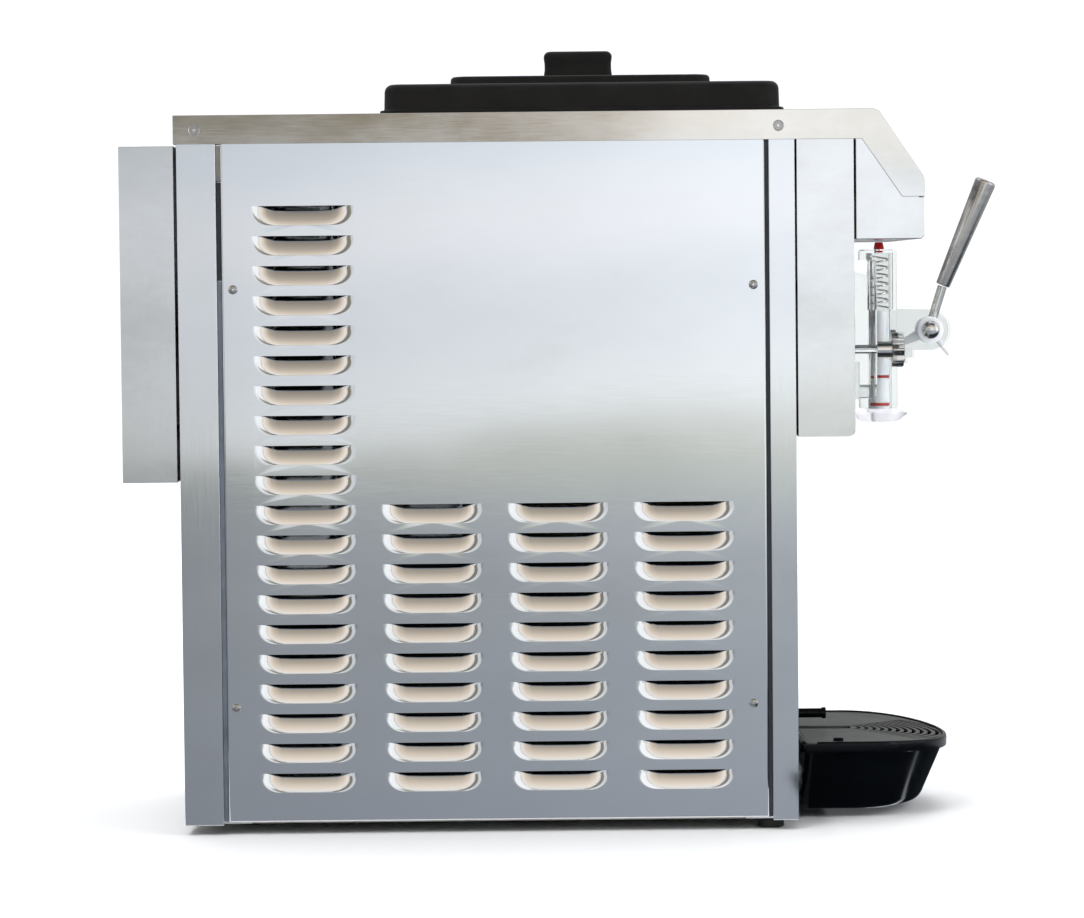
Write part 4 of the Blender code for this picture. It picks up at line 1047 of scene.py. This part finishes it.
def wall_card(name, start, end, low, high, look):
    """A card that stands upright between two points of the floor."""
    card(name, [(*start, low), (*end, low), (*end, high), (*start, high)], look)


def make_cards():
    """Surroundings for the steel to reflect: sky over a lawn, paving, a warm wall under dark eaves."""
    strip = glow("strip_card", "Z", 0.0, 1.4, 5.0, 5.0, (0.0, (0.7, 0.75, 0.8)), (0.7, (1.0, 1.0, 1.0)),
                 (1.4, (0.8, 0.8, 0.8)))
    wall_card("strip_card", (2.6, -1.3), (2.7, -1.12), 0.05, 1.4, strip)
    wall_card("strip_card_far", (2.8, -0.5), (2.8, -0.42), 0.05, 1.4, strip)
    sky = glow("sky_card", "Z", 0.0, 2.4, 0.74, 1.12,
               (0.0, (0.60, 0.63, 0.58)), (0.05, (0.64, 0.67, 0.61)), (0.085, (0.86, 0.89, 0.88)),
               (0.12, (1.0, 1.02, 1.03)), (0.20, (1.03, 1.07, 1.10)), (0.30, (0.98, 1.02, 1.06)),
               (0.40, (0.92, 0.97, 1.02)), (0.55, (0.93, 0.98, 1.03)), (0.68, (1.08, 1.10, 1.15)),
               (0.82, (1.06, 1.09, 1.13)), (0.98, (0.90, 0.98, 1.08)), (1.12, (0.95, 1.0, 1.05)),
               slope=0.045, cloud=0.03)
    wall_card("sky_card", (-6, -8), (6, -8), 0.0, 1.10, sky)
    hem = glow("hem_card", "X", -1.35, 1.0, 1.0, 1.0,
               (-1.35, (0.27, 0.245, 0.19)), (-0.9, (0.27, 0.24, 0.185)), (-0.45, (0.33, 0.29, 0.22)),
               (-0.05, (0.44, 0.39, 0.32)), (0.22, (0.66, 0.60, 0.52)), (0.42, (1.12, 1.09, 1.03)),
               (0.95, (1.12, 1.11, 1.09)))
    wall_card("hem_card", (-6, -8), (6, -8), 1.10, 2.4, hem)
    ground = glow("ground_card", "Y", -8.0, -0.2, 0.57, 1.22,
                  (-8.0, (0.60, 0.63, 0.58)), (-6.9, (0.55, 0.585, 0.56)), (-6.3, (0.47, 0.51, 0.52)),
                  (-4.8, (0.46, 0.49, 0.53)), (-3.2, (0.41, 0.445, 0.476)), (-2.0, (0.39, 0.42, 0.46)),
                  (-0.9, (0.37, 0.40, 0.445)), (-0.2, (0.34, 0.37, 0.42)))
    flat_card("ground_card", -6, 6, -8, -0.24, 0.003, ground)
    shade = glow("tray_shade_card", "X", 0.2, 2.0, 1.0, 1.0,
                 (0.2, (0.02, 0.025, 0.03)), (1.0, (0.03, 0.035, 0.04)), (2.0, (0.10, 0.11, 0.12)))
    flat_card("tray_shade_card", 0.24, 1.8, -0.62, 0.3, 0.0045, shade)
    glint = glow("glint_card", "Z", 0.0, 1.0, 2.2, 2.2, (0.0, (0.85, 0.92, 1.0)), (1.0, (0.85, 0.92, 1.0)))
    card("nose_glint_card", [(0.30, -0.095, 0.006), (0.46, -0.050, 0.006), (0.46, -0.042, 0.006),
                             (0.30, -0.088, 0.006)], glint)
    side = glow("side_ground_card", "Z", 0.0, 1.0, 1.0, 1.0,
                (0.0, (0.42, 0.44, 0.47)), (1.0, (0.5, 0.5, 0.5)))
    flat_card("left_ground_card", -8, 8, 0.24, 8, 0.003, side)
    flat_card("front_ground_card", 0.26, 8, -0.24, 0.24, 0.003, side)
    flat_card("rear_ground_card", -8, -0.5, -0.24, 0.24, 0.003, side)
    warm = glow("warm_card", "Z", 2.3, 5.2, 1.0, 1.0,
                (2.3, (1.0, 0.98, 0.95)), (2.9, (0.98, 0.87, 0.75)), (3.5, (0.80, 0.69, 0.57)),
                (4.2, (0.50, 0.44, 0.37)), (4.9, (0.34, 0.30, 0.25)))
    card("warm_card", [(-5, -6.2, 2.3), (5, -6.2, 2.3), (5, -3.9, 5.2), (-5, -3.9, 5.2)], warm)
    dark = glow("eave_card", "Y", -3.9, 0.6, 1.0, 1.0,
                (-3.9, (0.05, 0.055, 0.07)), (-2.0, (0.12, 0.13, 0.16)), (-0.6, (0.7, 0.72, 0.76)))
    card("eave_card", [(-5, -3.9, 5.2), (5, -3.9, 5.2), (5, -0.6, 6.0), (-5, -0.6, 6.0)], dark)
    rear = glow("rear_card", "Z", 0.0, 3.0, 1.0, 1.0,
                (0.0, (0.30, 0.30, 0.31)), (1.0, (0.38, 0.38, 0.40)), (3.0, (0.75, 0.76, 0.78)))
    wall_card("rear_card", (-4, 1.6), (4, 1.6), 0.02, 3.0, rear)


def make_floor():
    pale = plain("floor_paint", (0.86, 0.86, 0.86), 0.6)
    reach = 9.0
    bend = 2.5
    profile = [(0.001, 0.0), (1.0, 0.0), (3.0, 0.0), (6.0, 0.0), (reach, 0.0)]
    for k in range(1, 9):
        a = radians(90.0 * k / 8)
        profile.append((reach + bend * sin(a), bend * (1 - cos(a))))
    profile.append((reach + bend, 7.0))
    bm = bmesh.new()
    last = None
    for radius, height in profile:
        ring = []
        for i in range(96):
            a = 2 * pi * i / 96
            ring.append(bm.verts.new((radius * cos(a), radius * sin(a), height)))
        if last:
            for i in range(96):
                j = (i + 1) % 96
                bm.faces.new((last[i], last[j], ring[j], ring[i]))
        last = ring
    mesh = bpy.data.meshes.new("floor")
    bm.to_mesh(mesh)
    bm.free()
    for face in mesh.polygons:
        face.use_smooth = True
    mesh.materials.append(pale)
    floor = bpy.data.objects.new("floor", mesh)
    bpy.context.collection.objects.link(floor)


def make_lights():
    world = bpy.data.worlds.new("studio")
    bpy.context.scene.world = world
    world.use_nodes = True
    world.node_tree.nodes["Background"].inputs["Color"].default_value = (0.94, 0.97, 1.0, 1.0)
    world.node_tree.nodes["Background"].inputs["Strength"].default_value = 0.95

    def area(name, place, target, width, height, watts, colour=(1.0, 1.0, 1.0)):
        data = bpy.data.lights.new(name, "AREA")
        data.shape = "RECTANGLE"
        data.size = width
        data.size_y = height
        data.energy = watts
        data.color = colour
        lamp = bpy.data.objects.new(name, data)
        lamp.location = place
        aim = (Vector(target) - Vector(place)).to_track_quat("-Z", "Y")
        lamp.rotation_euler = aim.to_euler()
        lamp.visible_glossy = False
        bpy.context.collection.objects.link(lamp)

    area("key", (-1.6, -3.0, 3.6), (0.0, 0.0, 0.4), 1.8, 1.4, 90.0)
    area("fill", (3.0, -2.0, 1.8), (0.1, 0.0, 0.4), 0.9, 1.6, 40.0)
    area("overhead", (0.0, 1.0, 4.2), (0.0, 0.0, 0.5), 3.5, 2.5, 130.0)
    area("backdrop_wash", (0.0, 3.0, 4.0), (0.0, 9.0, 1.6), 5.0, 1.2, 260.0)


CAMERA_LENS = 133.16


def make_camera():
    data = bpy.data.cameras.new("camera")
    data.sensor_width = 36.0
    data.lens = CAMERA_LENS
    data.clip_end = 60.0
    camera = bpy.data.objects.new("camera", data)
    turn = Matrix.Rotation(radians(90.0 - 2.577), 4, "X") @ Matrix.Rotation(radians(-0.586), 4, "Z")
    camera.matrix_world = Matrix.Translation((at(361.5, 0, 0).x, -4.2, 0.5551)) @ turn
    bpy.context.collection.objects.link(camera)
    bpy.context.scene.camera = camera
    bpy.context.scene.view_settings.view_transform = "Standard"


LOOKS = make_looks()
make_cabinet(LOOKS)
make_lid(LOOKS)
make_clear_head(LOOKS)
make_nozzle(LOOKS)
make_plunger(LOOKS)
make_spring(LOOKS)
make_hand_nuts(LOOKS)
make_pivot(LOOKS)
make_lever(LOOKS)
make_controls(LOOKS)
make_tray(LOOKS)
make_floor()
make_cards()
make_lights()
make_camera()
